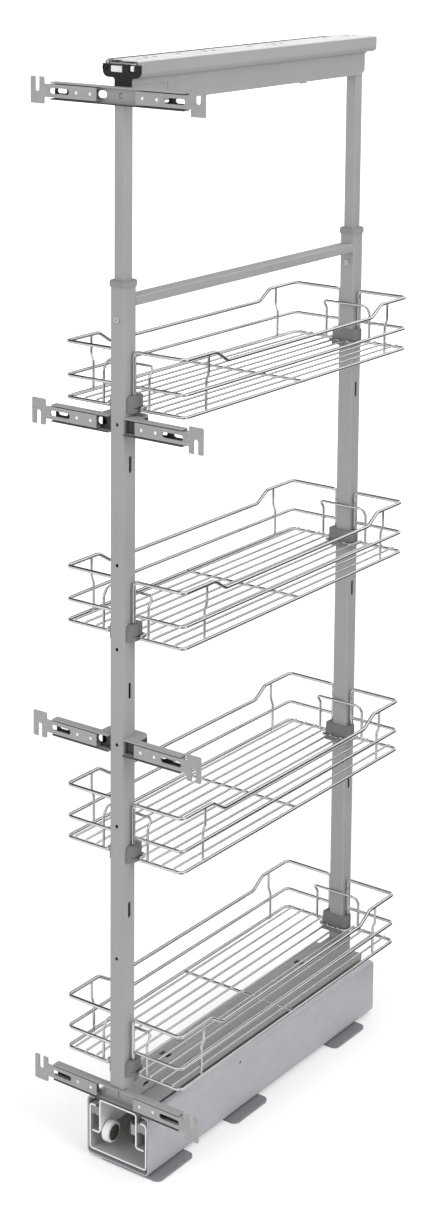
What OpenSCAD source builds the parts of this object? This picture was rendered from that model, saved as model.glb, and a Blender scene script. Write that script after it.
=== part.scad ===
// Pull out larder unit: a narrow frame on a bottom slide and a top slide, with four wire
// baskets hung between two telescopic posts and four width-adjustable door brackets.
// X is the width, -Y is the cabinet door side and +Z is up. The unit is shown pushed in.
// The origin is on the cabinet floor, midway between the two posts.

/* [Frame] */
// Depth from the front of the front post to the back of the rear post
frame_depth = 497; // [460:1:540]
// Width of each lower post tube
post_w = 21; // [20:0.5:24]
// Depth of each lower post tube
post_d = 22; // [21:0.5:24]
// Length of each lower post tube
post_len = 976; // [960:2:1040]
// Wall of the square tubes
tube_wall = 1.5; // [1.2:0.1:2]
// Length of upper post tube seen above the collar
post_reach = 198; // [185:1:230]
// Length of upper post tube held inside the lower one
post_hold = 178; // [170:1:230]
// Plastic sleeve between the two post tubes
bush_wall = 0.9; // [0.7:0.1:1.2]
// Height of the collar on top of a lower post
collar_h = 7.5; // [6:0.5:12]
// Height of the bar between the posts
bar_h = 11; // [9:0.5:20]
// Drop from the collar top to the top of that bar
bar_drop = 20; // [14:1:40]
// Height of the base beam that carries the posts
beam_h = 22; // [21:0.5:26]

/* [Baskets] */
// Height of the lowest basket floor above the base beam
basket_low = 19; // [16:1:40]
// Room above the highest basket floor, up to the tops of the lower posts
basket_top_room = 147; // [130:1:160]
// Width of a basket, wire centre to wire centre
basket_w = 171; // [150:1:200]
// Height of the top rail above the floor wire
rail_h = 66; // [60:1:90]
// Height of the middle rail above the floor wire
mid_h = 26; // [20:1:34]
// How far the top rail dips along the sides
rail_dip = 13.5; // [8:0.5:18]
// Distance from a basket end to the start of the dip
dip_start = 59; // [54:1:90]
// How far a basket end laps past the inner face of its post
basket_lap = 8.5; // [7:0.5:10]
// Diameter of the top rail's wire
rail_wire = 4.4; // [4.2:0.1:5]
// Diameter of the floor frame's and middle rail's wire
frame_wire = 4; // [3.4:0.1:4.1]
// Diameter of the floor wires
floor_wire = 2.6; // [2:0.1:3.2]
// Diameter of the uprights and guards
upright_wire = 3.2; // [2.6:0.1:3.3]
// Spacing of the floor wires
wire_gap = 16.4; // [14:0.2:20]
// Distance of a corner upright from the basket end
upright_in = 45; // [40:1:50]
// Half width of the guard round a post
guard_half = 33; // [31:1:36]
// Height of the guard bridge above the floor wire
guard_h = 50; // [44:1:54]

/* [Base slide] */
// Length of the base housing
housing_len = 498; // [470:2:560]
// Width of the base housing
housing_w = 93; // [90:1:110]
// Height of the base housing
housing_h = 75; // [72:1:90]
// Bend radius of the base housing
housing_r = 6; // [4:0.5:8]
// Sheet thickness of the base profiles
sheet = 2; // [1.5:0.1:2.4]
// Width of each lip along the housing mouth
housing_lip = 10.5; // [8:0.5:12]
// Thickness of the mounting feet
foot_t = 3; // [2:0.5:4]
// Length of a mounting foot
foot_len = 72; // [50:1:90]
// How far the feet stand out on the right
foot_out = 14; // [8:1:20]
// Front foot, centre to the housing front
foot_front = 38; // [36:1:60]
// Middle foot, centre to the housing front
foot_mid = 195; // [150:1:250]
// Rear foot, centre to the housing rear
foot_back = 76; // [45:1:120]
// Spacing of the floor screws across the housing
screw_span = 60; // [40:1:64]
// Diameter of the floor screw holes
screw_d = 5.5; // [4:0.1:7]
// Travel left under the intermediate profile for its ball strips
under_gap = 4.8; // [4.4:0.1:6]
// Height of the intermediate profile
inter_h = 59; // [56:0.5:60]
// Width of the lips of the intermediate profile
inter_lip = 9.5; // [8:0.5:10]
// Half width of the carriage profile's legs
leg_half = 28.5; // [27:0.5:30]
// Height of the carriage profile's feet above the housing underside
leg_low = 30.5; // [26:0.5:34]
// Width of the carriage profile's turned-out feet
leg_foot = 10.5; // [8:0.5:11]
// Width of the plate on the carriage profile
plate_w = 66; // [60:1:70]
// Diameter of the front roller
roller_d = 25.5; // [22:0.5:28]
// Width of the front roller
roller_w = 10.5; // [9:0.5:14]

/* [Top slide] */
// Width of the top housing across its channel
head_w = 50; // [48:1:58]
// Height of the channel part of the top housing
head_h = 18.5; // [18:0.5:22]
// Height of the web below the channel
web_h = 30; // [28:1:40]
// Width of the web
web_w = 20; // [19:0.5:22]
// Sheet thickness of the top housing
head_sheet = 1.5; // [1.2:0.1:2]
// Sheet thickness of the slide members
slide_sheet = 1.4; // [1.2:0.1:1.6]
// Diameter of the slide's balls
ball_d = 2.8; // [2.4:0.1:3.2]
// Distance of the top housing's front end from the posts' front faces
head_in = 9.5; // [9:0.5:14]

/* [Door brackets] */
// Height of a bracket channel
chan_h = 20.5; // [18:0.5:22]
// Depth of a bracket channel
chan_d = 10; // [9:0.5:11]
// Length of a bracket channel
chan_len = 190; // [180:1:210]
// Sheet thickness of the brackets
chan_sheet = 1.5; // [1.2:0.1:1.8]
// Half distance across the brackets' hooks
hook_half = 124; // [118:1:140]
// Width of a hook plate
hook_w = 20; // [18:0.5:24]
// Height of a hook plate
hook_h = 31; // [28:0.5:36]
// Width of the slot in a hook plate
hook_slot = 6.3; // [5.5:0.1:8]
// Inner end of each arm from the middle
arm_in = 28; // [26:0.5:34]
// Drop from the highest basket floor to the middle of the upper wrap-round bracket
bracket_under = 18; // [16:1:30]
// Height of the lower wrap-round bracket above the base beam
bracket_low = 429; // [400:1:450]

/* [Clearances] */
// Gap between sliding sheet parts
slide_gap = 0.4; // [0.3:0.05:0.6]
// Gap at seated plastic parts
seat_gap = 0.2; // [0.1:0.05:0.3]
// Gap between a bracket arm's turned edges and the flanges of its channel
arm_gap = 1.2; // [0.6:0.1:1.4]
// Radial gap of the roller on its hub
bore_gap = 0.05; // [0.02:0.01:0.1]

/* [Hidden] */
$fn = 40;
wire_fn = 20;
eps = 0.01;

// Places along the depth
frame_front = -frame_depth / 2;
frame_back = frame_depth / 2;
post_in = frame_back - post_d;
post_y = frame_back - post_d / 2;
housing_front = frame_front + 2.5;
housing_back = housing_front + housing_len;
carriage_back = frame_back;

// Heights, from the cabinet floor up
housing_z = foot_t;
housing_top = housing_z + housing_h;
inter_z = housing_z + sheet + under_gap;
inter_top = inter_z + inter_h;
leg_z = housing_z + leg_low;
plate_z = housing_top;
plate_t = 4;
beam_z = plate_z + plate_t;
beam_top = beam_z + beam_h;
post_top = beam_top + post_len;
collar_over = 1.5;
collar_top = post_top + collar_over;
bar_top = collar_top - bar_drop;
web_z = collar_top + post_reach;
shoulder_z = web_z + web_h;
head_top = shoulder_z + head_h;
lowest_floor = beam_top + basket_low;
basket_pitch = (post_len - basket_low - basket_top_room) / 3;
bracket_high = post_len - basket_top_room - bracket_under;

// Tubes
bush_out_w = post_w - 2 * tube_wall - 2 * seat_gap;
bush_out_d = post_d - 2 * tube_wall - 2 * seat_gap;
upper_w = bush_out_w - 2 * bush_wall - 2 * slide_gap;
upper_d = bush_out_d - 2 * bush_wall - 2 * slide_gap;
tube_r = 2.5;
upper_r = 1.8;

// Post holes and slots, measured up from the base beam
post_hole_d = 4.4;
post_holes = [163.5, 328.5, bracket_low, 544.5, 645, bracket_high];
post_slot_len = 20;
post_slot_w = 4.6;
post_slot_drop = 65;
clamp_screw_drop = 45;

// Basket places
weld = 0.3;
basket_end = post_in + basket_lap;
side_x = basket_w / 2;
floor_up = (frame_wire + floor_wire) / 2 - weld;
floors = [for (i = [0:3]) lowest_floor + (3 - i) * basket_pitch];

// Clip that carries a basket end
tail_x = post_w / 2 + 4;
tail_low = 3;
tail_cover = 4.5;
clip_half = tail_x + tail_cover;
clip_back = 4.6;
clip_h = 16;
clip_front = 18.5;
hook_t = 2;
clip_low = frame_wire / 2 + seat_gap + hook_t;
notch_y = post_in - clip_back - seat_gap - frame_wire / 2;
notch_x = clip_half + seat_gap + frame_wire / 2;

// Bracket places: the front plane of the arms and the back of the channel web
arm_face = frame_front - 3.5;
chan_back = arm_face + chan_d;
bracket_z = [web_z + chan_h / 2, beam_top + bracket_high, beam_top + bracket_low, beam_z + beam_h / 2];

// ---------------------------------------------------------------- shared shapes

// Extrudes an (x, z) section along the depth
module along_y(y0, y1) {
    translate([0, y1, 0]) rotate([90, 0, 0]) linear_extrude(y1 - y0) children();
}

// Extrudes a (y, z) section across the width
module along_x(x0, x1) {
    translate([x0, 0, 0]) rotate([90, 0, 90]) linear_extrude(x1 - x0) children();
}

// Rectangle with round corners, centred in x and standing on y = 0
module round_rect(w, h, r) {
    translate([r - w / 2, 0]) square([w - 2 * r, h]);
    translate([-w / 2, r]) square([w, h - 2 * r]);
    for (x = [r - w / 2, w / 2 - r], y = [r, h - r]) translate([x, y]) circle(r);
}

// The same rectangle, centred both ways
module round_plate(w, h, r) {
    translate([0, -h / 2]) round_rect(w, h, r);
}

// Slot with round ends, centred, long in its second direction
module round_slot(w, len) {
    square([w, len - w], center = true);
    for (y = [-1, 1]) translate([0, y * (len - w) / 2]) circle(w / 2);
}

// Sheet metal channel with a mouth between two lips along its top
module lipped_channel(w, h, r, t, lip) {
    difference() {
        round_rect(w, h, r);
        translate([0, t]) round_rect(w - 2 * t, h - 2 * t, r - t);
        translate([lip - w / 2, h / 2]) square([w - 2 * lip, h]);
    }
}

// Tube section centred on the origin
module tube_section(w, d, r, t) {
    difference() {
        round_plate(w, d, r);
        round_plate(w - 2 * t, d - 2 * t, max(r - t, 0.4));
    }
}

// Unit vector from one point of a flat path to another
function heading(p, q) = [q[0] - p[0], q[1] - p[1]] / norm([q[0] - p[0], q[1] - p[1]]);

// Length that a bend of radius r takes off each of the two straights that meet at q
function bend_cut(p, q, s) =
    let (u = heading(p, q), v = heading(q, s)) q[2] * tan(acos(max(-1, min(1, u * v))) / 2);

// Straight round bar between two points of the XY plane
module bar(p, q, d) {
    translate([p[0], p[1], 0]) rotate([0, 90, atan2(q[1] - p[1], q[0] - p[0])])
        cylinder(d = d, h = norm([q[0] - p[0], q[1] - p[1]]), $fn = wire_fn);
}

// Round bend at q, tangent to the straights from p and on to s. It is a hair thicker than
// its wire, as bends are swollen, so the straights run on into it by wire_lap.
module elbow(p, q, s, d) {
    u = heading(p, q);
    v = heading(q, s);
    side = sign(u[0] * v[1] - u[1] * v[0]);
    turn = acos(max(-1, min(1, u * v)));
    cut = bend_cut(p, q, s);
    centre = [q[0] - u[0] * cut - side * u[1] * q[2], q[1] - u[1] * cut + side * u[0] * q[2]];
    from = atan2(side * -u[0], side * u[1]);
    translate([centre[0], centre[1], 0]) rotate([0, 0, side > 0 ? from : from - turn])
        rotate_extrude(angle = turn, $fn = 48)
            translate([q[2], 0]) circle(d = d + 2 * bend_swell, $fn = wire_fn);
}

// Wire of diameter d bent along a flat path of points [x, y, bend radius]
module bent_wire(path, d, closed = false) {
    n = len(path);
    for (i = [0:closed ? n - 1 : n - 2]) {
        p = path[i];
        q = path[(i + 1) % n];
        u = heading(p, q);
        cut_p = closed || i > 0 ? bend_cut(path[(i + n - 1) % n], p, q) - wire_lap : 0;
        cut_q = closed || i < n - 2 ? bend_cut(p, q, path[(i + 2) % n]) - wire_lap : 0;
        bar([p[0] + u[0] * cut_p, p[1] + u[1] * cut_p], [q[0] - u[0] * cut_q, q[1] - u[1] * cut_q], d);
        if (closed || i < n - 2) elbow(p, q, path[(i + 2) % n], d);
    }
}

// Both ends of a part that is the same at the front and at the rear
module both_ends() {
    children();
    rotate([0, 0, 180]) children();
}

// Mirror images at the left and right
module both_sides() {
    children();
    mirror([1, 0, 0]) children();
}

// ---------------------------------------------------------------- base slide

// Holes for the four floor screws, through the housing floor and the feet
module floor_screw_holes() {
    for (x = [-1, 1], y = [housing_front + foot_front, housing_back - foot_back])
        translate([x * screw_span / 2, y, -1]) cylinder(d = screw_d, h = housing_z + sheet + 2);
}

// What is cut off a square corner at the origin to leave it round
module corner_cut(r) {
    difference() {
        translate([-1, -1]) square(r + 1);
        translate([r, r]) circle(r);
    }
}

module base_housing() {
    color([0.67, 0.675, 0.69]) difference() {
        along_y(housing_front, housing_back)
            translate([0, housing_z]) lipped_channel(housing_w, housing_h, housing_r, sheet, housing_lip);
        // round corners in side view
        along_x(-housing_w, housing_w) {
            translate([housing_front, housing_top]) mirror([0, 1]) corner_cut(2.5);
            translate([housing_back, housing_top]) mirror([1, 0]) mirror([0, 1]) corner_cut(8);
            translate([housing_back, housing_z]) mirror([1, 0]) corner_cut(3.5);
        }
        floor_screw_holes();
        // stop screw seat in the right wall
        translate([0, housing_front + 187, housing_top - 11]) rotate([0, 90, 0]) cylinder(d = 4, h = housing_w);
    }
}

module mounting_feet() {
    foot_r = 8;
    foot_w = housing_w / 2 + foot_out + 30;
    color([0.42, 0.42, 0.44]) difference() {
        for (y = [housing_front + foot_front, housing_front + foot_mid, housing_back - foot_back])
            translate([housing_w / 2 + foot_out - foot_w / 2, y, 0])
                linear_extrude(foot_t) round_plate(foot_w, foot_len, foot_r);
        floor_screw_holes();
    }
}

inter_w = housing_w - 2 * sheet - 2 * 1.0;
inter_r = 4.5;

module intermediate_profile() {
    color([0.66, 0.66, 0.67])
        along_y(housing_front, housing_back)
            translate([0, inter_z]) lipped_channel(inter_w, inter_h, inter_r, sheet, inter_lip);
}

// Plastic guides in the top corners of the intermediate profile, beside the carriage legs
module guide_blocks() {
    block_x = leg_half + slide_gap;
    block_h = 11;
    block_len = 24;
    off = sheet + seat_gap;
    low = inter_top - off - block_h;
    color([0.72, 0.72, 0.7]) both_sides()
        for (y = [housing_front + 0.5, housing_back - 0.5 - block_len]) along_y(y, y + block_len) difference() {
            intersection() {
                translate([block_x, low]) square([inter_w, 2 * block_h]);
                translate([0, inter_z + off]) round_rect(inter_w - 2 * off, inter_h - 2 * off, inter_r - off);
            }
            translate([(block_x + inter_w / 2 - off) / 2, low]) circle(d = 3);
        }
}

// Strips of balls that carry the intermediate profile on the housing floor
module ball_strips() {
    strip_w = 9;
    strip_t = 1.4;
    strip_len = housing_len / 2;
    ball = under_gap - 2 * 0.25;
    balls = 8;
    mid_z = inter_z - under_gap / 2;
    mid_y = (housing_front + housing_back) / 2;
    color([0.8, 0.8, 0.78]) both_sides() translate([inter_w / 2 - 14, mid_y, mid_z]) {
        cube([strip_w, strip_len, strip_t], center = true);
        for (i = [0:balls - 1])
            translate([0, (i - (balls - 1) / 2) * strip_len / balls, 0]) sphere(d = ball, $fn = 24);
    }
}

// Hat section: a web, two legs and two feet turned outwards
module hat_section() {
    hat_h = housing_top - leg_z;
    hat_r = 4;
    difference() {
        round_rect(2 * leg_half, hat_h, hat_r);
        translate([0, -hat_r]) round_rect(2 * (leg_half - sheet), hat_h + hat_r - sheet, hat_r - sheet);
        translate([-leg_half - 1, -1]) square([2 * leg_half + 2, hat_r + 1]);
    }
    for (s = [-1, 1]) {
        // bend between a leg and its foot
        translate([s * (leg_half + hat_r - sheet), hat_r]) intersection() {
            difference() {
                circle(hat_r);
                circle(hat_r - sheet);
            }
            translate([s > 0 ? -hat_r : 0, -hat_r]) square(hat_r);
        }
        translate([s > 0 ? leg_half + hat_r - sheet : -leg_half - leg_foot, 0])
            square([leg_foot - hat_r + sheet, sheet]);
    }
}

module carriage_profile() {
    color([0.62, 0.62, 0.62]) along_y(housing_front, carriage_back) translate([0, leg_z]) hat_section();
}

module carriage_plate() {
    plate_r = 8;
    len = carriage_back - housing_front;
    color([0.6, 0.6, 0.6]) translate([0, housing_front, plate_z]) linear_extrude(plate_t) {
        translate([-plate_w / 2, 0]) square([plate_w, len - plate_r]);
        translate([plate_r - plate_w / 2, len - 2 * plate_r]) square([plate_w - 2 * plate_r, 2 * plate_r]);
        for (x = [-1, 1]) translate([x * (plate_w / 2 - plate_r), len - plate_r]) circle(plate_r);
    }
}

module base_beam() {
    slot_len = 11;
    slot_w = 4.5;
    color([0.6, 0.6, 0.59]) difference() {
        along_y(chan_back, frame_back)
            translate([0, beam_z]) difference() {
                round_rect(post_w, beam_h, tube_r);
                translate([0, tube_wall])
                    round_rect(post_w - 2 * tube_wall, beam_h - 2 * tube_wall, tube_r - tube_wall);
            }
        // pairs of slots in the top face
        for (x = [-1, 1], y = [frame_front + 96, frame_back - 108])
            translate([x * 4.8, y, beam_top - tube_wall - 1])
                linear_extrude(tube_wall + 2) round_slot(slot_w, slot_len);
        // slot in the right side behind the front post
        translate([0, frame_front + 44, beam_z + 11]) rotate([90, 0, 90])
            linear_extrude(post_w) rotate([0, 0, 90]) round_slot(4, slot_len);
    }
}

// Screws that hold the base beam to the carriage plate, with their heads on the beam
module beam_screws() {
    color([0.75, 0.75, 0.74])
        for (y = [frame_front + 132, frame_back - 128], x = [-1, 1])
            translate([x * 4.5, y, beam_top]) difference() {
                cylinder(d = 6, h = 1.8);
                translate([0, 0, 0.8]) cylinder(d = 2.6, h = 2, $fn = 6);
            }
}

barrel_d = 10;
bolt_d = 4.8;
adjuster_x = leg_half - sheet - barrel_d / 2 - 1;
adjuster_y = housing_front + 2 + barrel_d / 2;

// Threaded barrel on the inside of the right leg
module adjuster_barrel() {
    low = leg_z + 15;
    tall = 13;
    color([0.62, 0.62, 0.62]) difference() {
        union() {
            translate([adjuster_x, adjuster_y, low]) cylinder(d = barrel_d, h = tall);
            translate([adjuster_x, adjuster_y - barrel_d / 2, low])
                cube([leg_half - sheet - adjuster_x, barrel_d, tall]);
        }
        translate([adjuster_x, adjuster_y, low - 1]) cylinder(d = bolt_d + 2 * bore_gap, h = tall + 2);
    }
}

// Dark screw that stands through the barrel
module adjuster_bolt() {
    low = leg_z + 2;
    color([0.14, 0.14, 0.14]) translate([adjuster_x, adjuster_y, low]) difference() {
        union() {
            cylinder(d = bolt_d, h = 29);
            translate([0, 0, 28]) cylinder(d = 8.5, h = 3.5);
        }
        translate([0, 0, 29.5]) cylinder(d = 4.6, h = 3, $fn = 6);
    }
}

roller_y = housing_front + roller_d / 2;
roller_z = housing_z + 30.5;
roller_x = -leg_half + sheet + 0.8;
hub_d = roller_d * 0.65;
rivet_up = 6;

// Dark hub, riveted off its centre to the left leg
module roller_hub() {
    color([0.16, 0.15, 0.14]) translate([0, roller_y, roller_z]) rotate([0, 90, 0]) {
        translate([0, 0, roller_x]) cylinder(d = hub_d, h = roller_w + 0.4);
        translate([-rivet_up, 0, roller_x - 0.8]) cylinder(d = 3.6, h = 1);
    }
}

// White roller tyre that turns on the hub
module front_roller() {
    rim = 1.2;
    wide = roller_w - slide_gap;
    color([0.93, 0.93, 0.9]) translate([roller_x + slide_gap / 2, roller_y, roller_z]) rotate([0, 90, 0])
        difference() {
            union() {
                translate([0, 0, rim]) cylinder(d = roller_d, h = wide - 2 * rim);
                cylinder(d1 = roller_d - 2 * rim, d2 = roller_d, h = rim);
                translate([0, 0, wide - rim]) cylinder(d1 = roller_d, d2 = roller_d - 2 * rim, h = rim);
            }
            translate([0, 0, -1]) cylinder(d = hub_d + 2 * bore_gap, h = roller_w + 2);
        }
}

// ---------------------------------------------------------------- posts

// Vertical slot through both sides of a post
module post_side_slots() {
    for (i = [0:2])
        translate([-post_w, 0, floors[i] - post_slot_drop]) rotate([90, 0, 90])
            linear_extrude(2 * post_w) round_slot(post_slot_w, post_slot_len);
}

module clamp_screw_hole() {
    translate([0, -post_d / 2 - 1, collar_top - clamp_screw_drop]) rotate([-90, 0, 0])
        cylinder(d = 4, h = tube_wall + 2);
}

module lower_tube() {
    translate([0, 0, beam_top]) linear_extrude(post_len) tube_section(post_w, post_d, tube_r, tube_wall);
}

module front_post() {
    color([0.65, 0.65, 0.64]) translate([0, -post_y, 0]) difference() {
        lower_tube();
        post_side_slots();
        clamp_screw_hole();
        for (z = post_holes)
            translate([0, -post_d / 2 - 1, beam_top + z]) rotate([-90, 0, 0])
                cylinder(d = post_hole_d, h = tube_wall + 2);
    }
}

module rear_post() {
    color([0.65, 0.65, 0.64]) translate([0, post_y, 0]) difference() {
        lower_tube();
        post_side_slots();
        clamp_screw_hole();
    }
}

// Collar round a post top with a sleeve that guides the upper tube
module collar() {
    sleeve = 32;
    skirt = 1.6;
    bore_w = upper_w + 2 * slide_gap;
    bore_d = upper_d + 2 * slide_gap;
    difference() {
        union() {
            translate([0, 0, collar_top - collar_h]) linear_extrude(collar_h - 1.2)
                round_plate(post_w + 2 * skirt, post_d + 2 * skirt, tube_r + skirt);
            translate([0, 0, collar_top - 1.2 - eps]) linear_extrude(1.2 + eps)
                round_plate(post_w + skirt, post_d + skirt, tube_r + skirt / 2);
            translate([0, 0, post_top - sleeve]) linear_extrude(sleeve)
                round_plate(bush_out_w, bush_out_d, max(tube_r - tube_wall, 0.5));
        }
        // room for the post tube's wall
        translate([0, 0, post_top - sleeve - 1]) linear_extrude(sleeve + 1) difference() {
            round_plate(post_w + 0.1, post_d + 0.1, tube_r);
            round_plate(bush_out_w, bush_out_d, max(tube_r - tube_wall, 0.5));
        }
        translate([0, 0, post_top - sleeve - 2]) linear_extrude(sleeve + 10)
            round_plate(bore_w, bore_d, upper_r);
    }
}

module collars() {
    color([0.58, 0.58, 0.57]) for (s = [-1, 1]) translate([0, s * post_y, 0]) collar();
}

module cross_bar() {
    bar_w = post_w - 1;
    color([0.65, 0.65, 0.64])
        along_y(-post_in, post_in) translate([0, bar_top - bar_h]) difference() {
            round_rect(bar_w, bar_h, 1.5);
            translate([0, tube_wall])
                round_rect(bar_w - 2 * tube_wall, bar_h - 2 * tube_wall, 0.5);
        }
}

// Screws through the posts' front faces that clamp the upper tubes
module clamp_screws() {
    gap = (post_d - upper_d) / 2;
    color([0.7, 0.7, 0.68]) for (y = [-post_y, post_y])
        translate([0, y - post_d / 2, collar_top - clamp_screw_drop]) rotate([-90, 0, 0]) difference() {
            union() {
                cylinder(d = 3.8, h = gap - 0.3);
                translate([0, 0, -1.6]) cylinder(d = 7, h = 1.6);
            }
            translate([0, 0, -2]) cylinder(d = 2.9, h = 1.4, $fn = 6);
        }
}

module upper_tube() {
    translate([0, 0, collar_top - post_hold]) linear_extrude(post_hold + post_reach)
        tube_section(upper_w, upper_d, upper_r, tube_wall);
}

module front_upper_tube() {
    color([0.66, 0.66, 0.64]) translate([0, -post_y, 0]) upper_tube();
}

module rear_upper_tube() {
    color([0.66, 0.66, 0.64]) translate([0, post_y, 0]) upper_tube();
}

// ---------------------------------------------------------------- top slide

head_front = frame_front + head_in;
head_back = frame_back + 1;
slide_clear = 1.1;
screw_room = 2.4;
head_r = 6;

// Hollow round corners between a web of width w and the channel above it
module web_fillets(w) {
    r = 3;
    lap = 0.5;
    for (s = [-1, 1]) translate([s * (w / 2 + r), shoulder_z - r]) difference() {
        translate([s > 0 ? -r - lap : 0, 0]) square([r + lap, r + lap]);
        circle(r);
    }
}

// Section of the top housing: an open channel on a hollow web
module head_section() {
    t = head_sheet;
    difference() {
        union() {
            translate([0, shoulder_z]) difference() {
                round_rect(head_w, head_h + head_r, head_r);
                translate([-head_w, head_h]) square([2 * head_w, head_r + 1]);
            }
            translate([-web_w / 2, web_z]) square([web_w, web_h + t]);
            web_fillets(web_w);
        }
        translate([0, shoulder_z + t]) round_rect(head_w - 2 * t, head_h + head_r, head_r - t);
        translate([t - web_w / 2, web_z + t]) square([web_w - 2 * t, web_h - t]);
    }
}

// Side view of the recess pressed into the web's front end, its rear top corner round
module web_press() {
    len = 70;
    low = web_z + 2;
    tall = 20;
    r = 5;
    translate([head_front - 1, low]) square([len + 1, tall - r]);
    translate([head_front - 1, low]) square([len + 1 - r, tall]);
    translate([head_front + len - r, low + tall - r]) circle(r);
}

module top_housing() {
    press_depth = 0.7;
    edge_depth = 1.1;
    web_back = head_back - 3.5;
    bevel_y = 7.6;
    bevel_z = 5;
    color([0.66, 0.66, 0.65]) difference() {
        union() {
            along_y(head_front, head_back) head_section();
            // two small tabs under the web
            for (y = [head_back - 150.5, head_back - 142.5])
                translate([web_w / 2 - head_sheet, y, web_z - 1.5]) cube([head_sheet, 6, 1.5 + head_sheet]);
        }
        // the web stops short of the channel at the rear, with a cut corner
        translate([-web_w, web_back, web_z - 1]) cube([2 * web_w, head_back - web_back + 1, web_h - 2]);
        along_x(-web_w, web_w) polygon([
            [web_back + bevel_y, web_z + 2 * bevel_z], [web_back - 2 * bevel_y, web_z - bevel_z],
            [web_back + bevel_y, web_z - bevel_z]
        ]);
        // pressed recesses at the web's front end, deepest along their upper edge
        for (s = [-1, 1]) {
            translate([s * (web_w / 2 + 1 - press_depth), 0, 0]) along_x(-1, 1) web_press();
            translate([s * (web_w / 2 + 1 - edge_depth), head_front + 31, web_z + 21]) cube([2, 64, 1.6], center = true);
        }
        // screw holes for the inner slide member
        for (y = [-170, 0, 170])
            translate([0, y, shoulder_z - 1]) cylinder(d = 3.2, h = head_sheet + 2);
    }
}

cap_t = 2.6;
cap_over = 1.8;
cap_r = 8;
cap_head_h = 15;
stem_extra = 3;

// Black cap over the housing's front end, with two windows that show the slide
module top_end_cap() {
    half = head_w / 2 + cap_over;
    color([0.09, 0.09, 0.09]) along_y(head_front - cap_t, head_front) difference() {
        union() {
            translate([0, shoulder_z]) difference() {
                round_rect(2 * half, cap_head_h + cap_r, cap_r);
                translate([-2 * half, cap_head_h]) square([4 * half, 2 * cap_r]);
            }
            // stem over the end of the web, a little wider on the right
            translate([stem_extra / 2, 0]) web_fillets(web_w + stem_extra);
            translate([-web_w / 2, web_z]) square([web_w + stem_extra, web_h + 1]);
        }
        translate([-16.4, shoulder_z + 5.3]) square([17.4, 8.5]);
        // the second window is open at the top
        translate([10.5, shoulder_z + 7]) square([7.8, cap_head_h]);
    }
}

// Half widths of the slide members, from the rail inwards
rail_half = head_w / 2 - head_sheet - 0.6;
mid_half = rail_half - slide_sheet - ball_d - 0.6;
inner_half = mid_half - slide_sheet - ball_d - 0.6;
inner_z = shoulder_z + head_sheet;
rail_top = head_top + 1.5;

// Inner member, screwed to the floor of the top housing
module top_inner_member() {
    side_h = rail_top - 2 * slide_sheet - screw_room - slide_clear - inner_z;
    color([0.78, 0.78, 0.77]) along_y(head_front + 1, head_back - 1) translate([0, inner_z]) difference() {
        translate([-inner_half, 0]) square([2 * inner_half, side_h]);
        translate([slide_sheet - inner_half, slide_sheet]) square([2 * (inner_half - slide_sheet), side_h]);
    }
}

// Downward channel between the rail and the inner member
module top_intermediate() {
    top = rail_top - slide_sheet - screw_room;
    low = inner_z + 1;
    color([0.78, 0.78, 0.77]) along_y(head_front + 1, head_back - 1) difference() {
        translate([-mid_half, low]) square([2 * mid_half, top - low]);
        translate([slide_sheet - mid_half, low - 1]) square([2 * (mid_half - slide_sheet), top - low + 1 - slide_sheet]);
    }
}

rail_hole_d = 4.6;
rail_holes = [head_front + 27, head_front + 139, head_front + 279, head_back - 44.5];

// Rail for the cabinet's top panel, with countersunk screw holes
module top_rail() {
    low = inner_z + head_r - head_sheet - slide_clear;
    color([0.88, 0.88, 0.88]) difference() {
        along_y(head_front + 0.6, head_back - 1) difference() {
            translate([-rail_half, low]) square([2 * rail_half, rail_top - low]);
            translate([slide_sheet - rail_half, low - 1])
                square([2 * (rail_half - slide_sheet), rail_top - low + 1 - slide_sheet]);
        }
        for (y = rail_holes) {
            translate([0, y, rail_top - 3]) cylinder(d = rail_hole_d, h = 6);
            // oblong openings beside each screw hole
            for (x = [-1, 1])
                translate([x * 11, y - 12, rail_top - 3]) linear_extrude(6) round_slot(4.2, 16);
        }
    }
}

// Two strips each side that keep the balls between the members
module top_ball_cages() {
    strip_h = 5;
    strip_t = 0.9;
    balls = 9;
    cage_len = 300;
    mid_z = inner_z + 5.6;
    outer_x = (rail_half - slide_sheet + mid_half) / 2;
    inner_x = (mid_half - slide_sheet + inner_half) / 2;
    color([0.85, 0.85, 0.82]) both_sides() for (x = [outer_x, inner_x]) translate([x, 0, mid_z]) {
        cube([strip_t, cage_len, strip_h], center = true);
        for (i = [0:balls - 1])
            translate([0, (i - (balls - 1) / 2) * cage_len / balls, 0])
                rotate([0, 90, 0]) sphere(d = ball_d, $fn = 16);
    }
}

// ---------------------------------------------------------------- door brackets

// Channel open to the front, its (y, z) section centred on the bracket's height
module channel_section() {
    t = chan_sheet;
    translate([chan_back - t, -chan_h / 2]) square([t, chan_h]);
    for (z = [-chan_h / 2, chan_h / 2 - t])
        translate([arm_face + 0.3, z]) square([chan_d - 0.3, t]);
}

// Slots through the channel web
module channel_web_slots() {
    y = chan_back - chan_sheet - 1;
    t = chan_sheet + 2;
    translate([-25.5, y, 0]) rotate([-90, 0, 0]) linear_extrude(t) rotate([0, 0, 90]) round_slot(8.6, 13);
    for (s = [-1, 1], x = [61, 84])
        translate([s * x, y, 0]) rotate([-90, 0, 0]) linear_extrude(t) rotate([0, 0, 90]) round_slot(6, 14);
    // small pressed mark window
    translate([-1.2, y, -3]) cube([0.9, t, 6]);
    for (z = [-3, 2.1]) translate([-1.2, y, z]) cube([3.6, t, 0.9]);
}

// Channel fixed to the end of a beam or housing
module plain_channel(z) {
    color([0.62, 0.62, 0.61]) translate([0, 0, z]) difference() {
        along_x(-chan_len / 2, chan_len / 2) channel_section();
        channel_web_slots();
    }
}

wrap_half = 27.5;
wrap_r = 11;
wrap_back = frame_front + post_d + 7.5;

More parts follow.
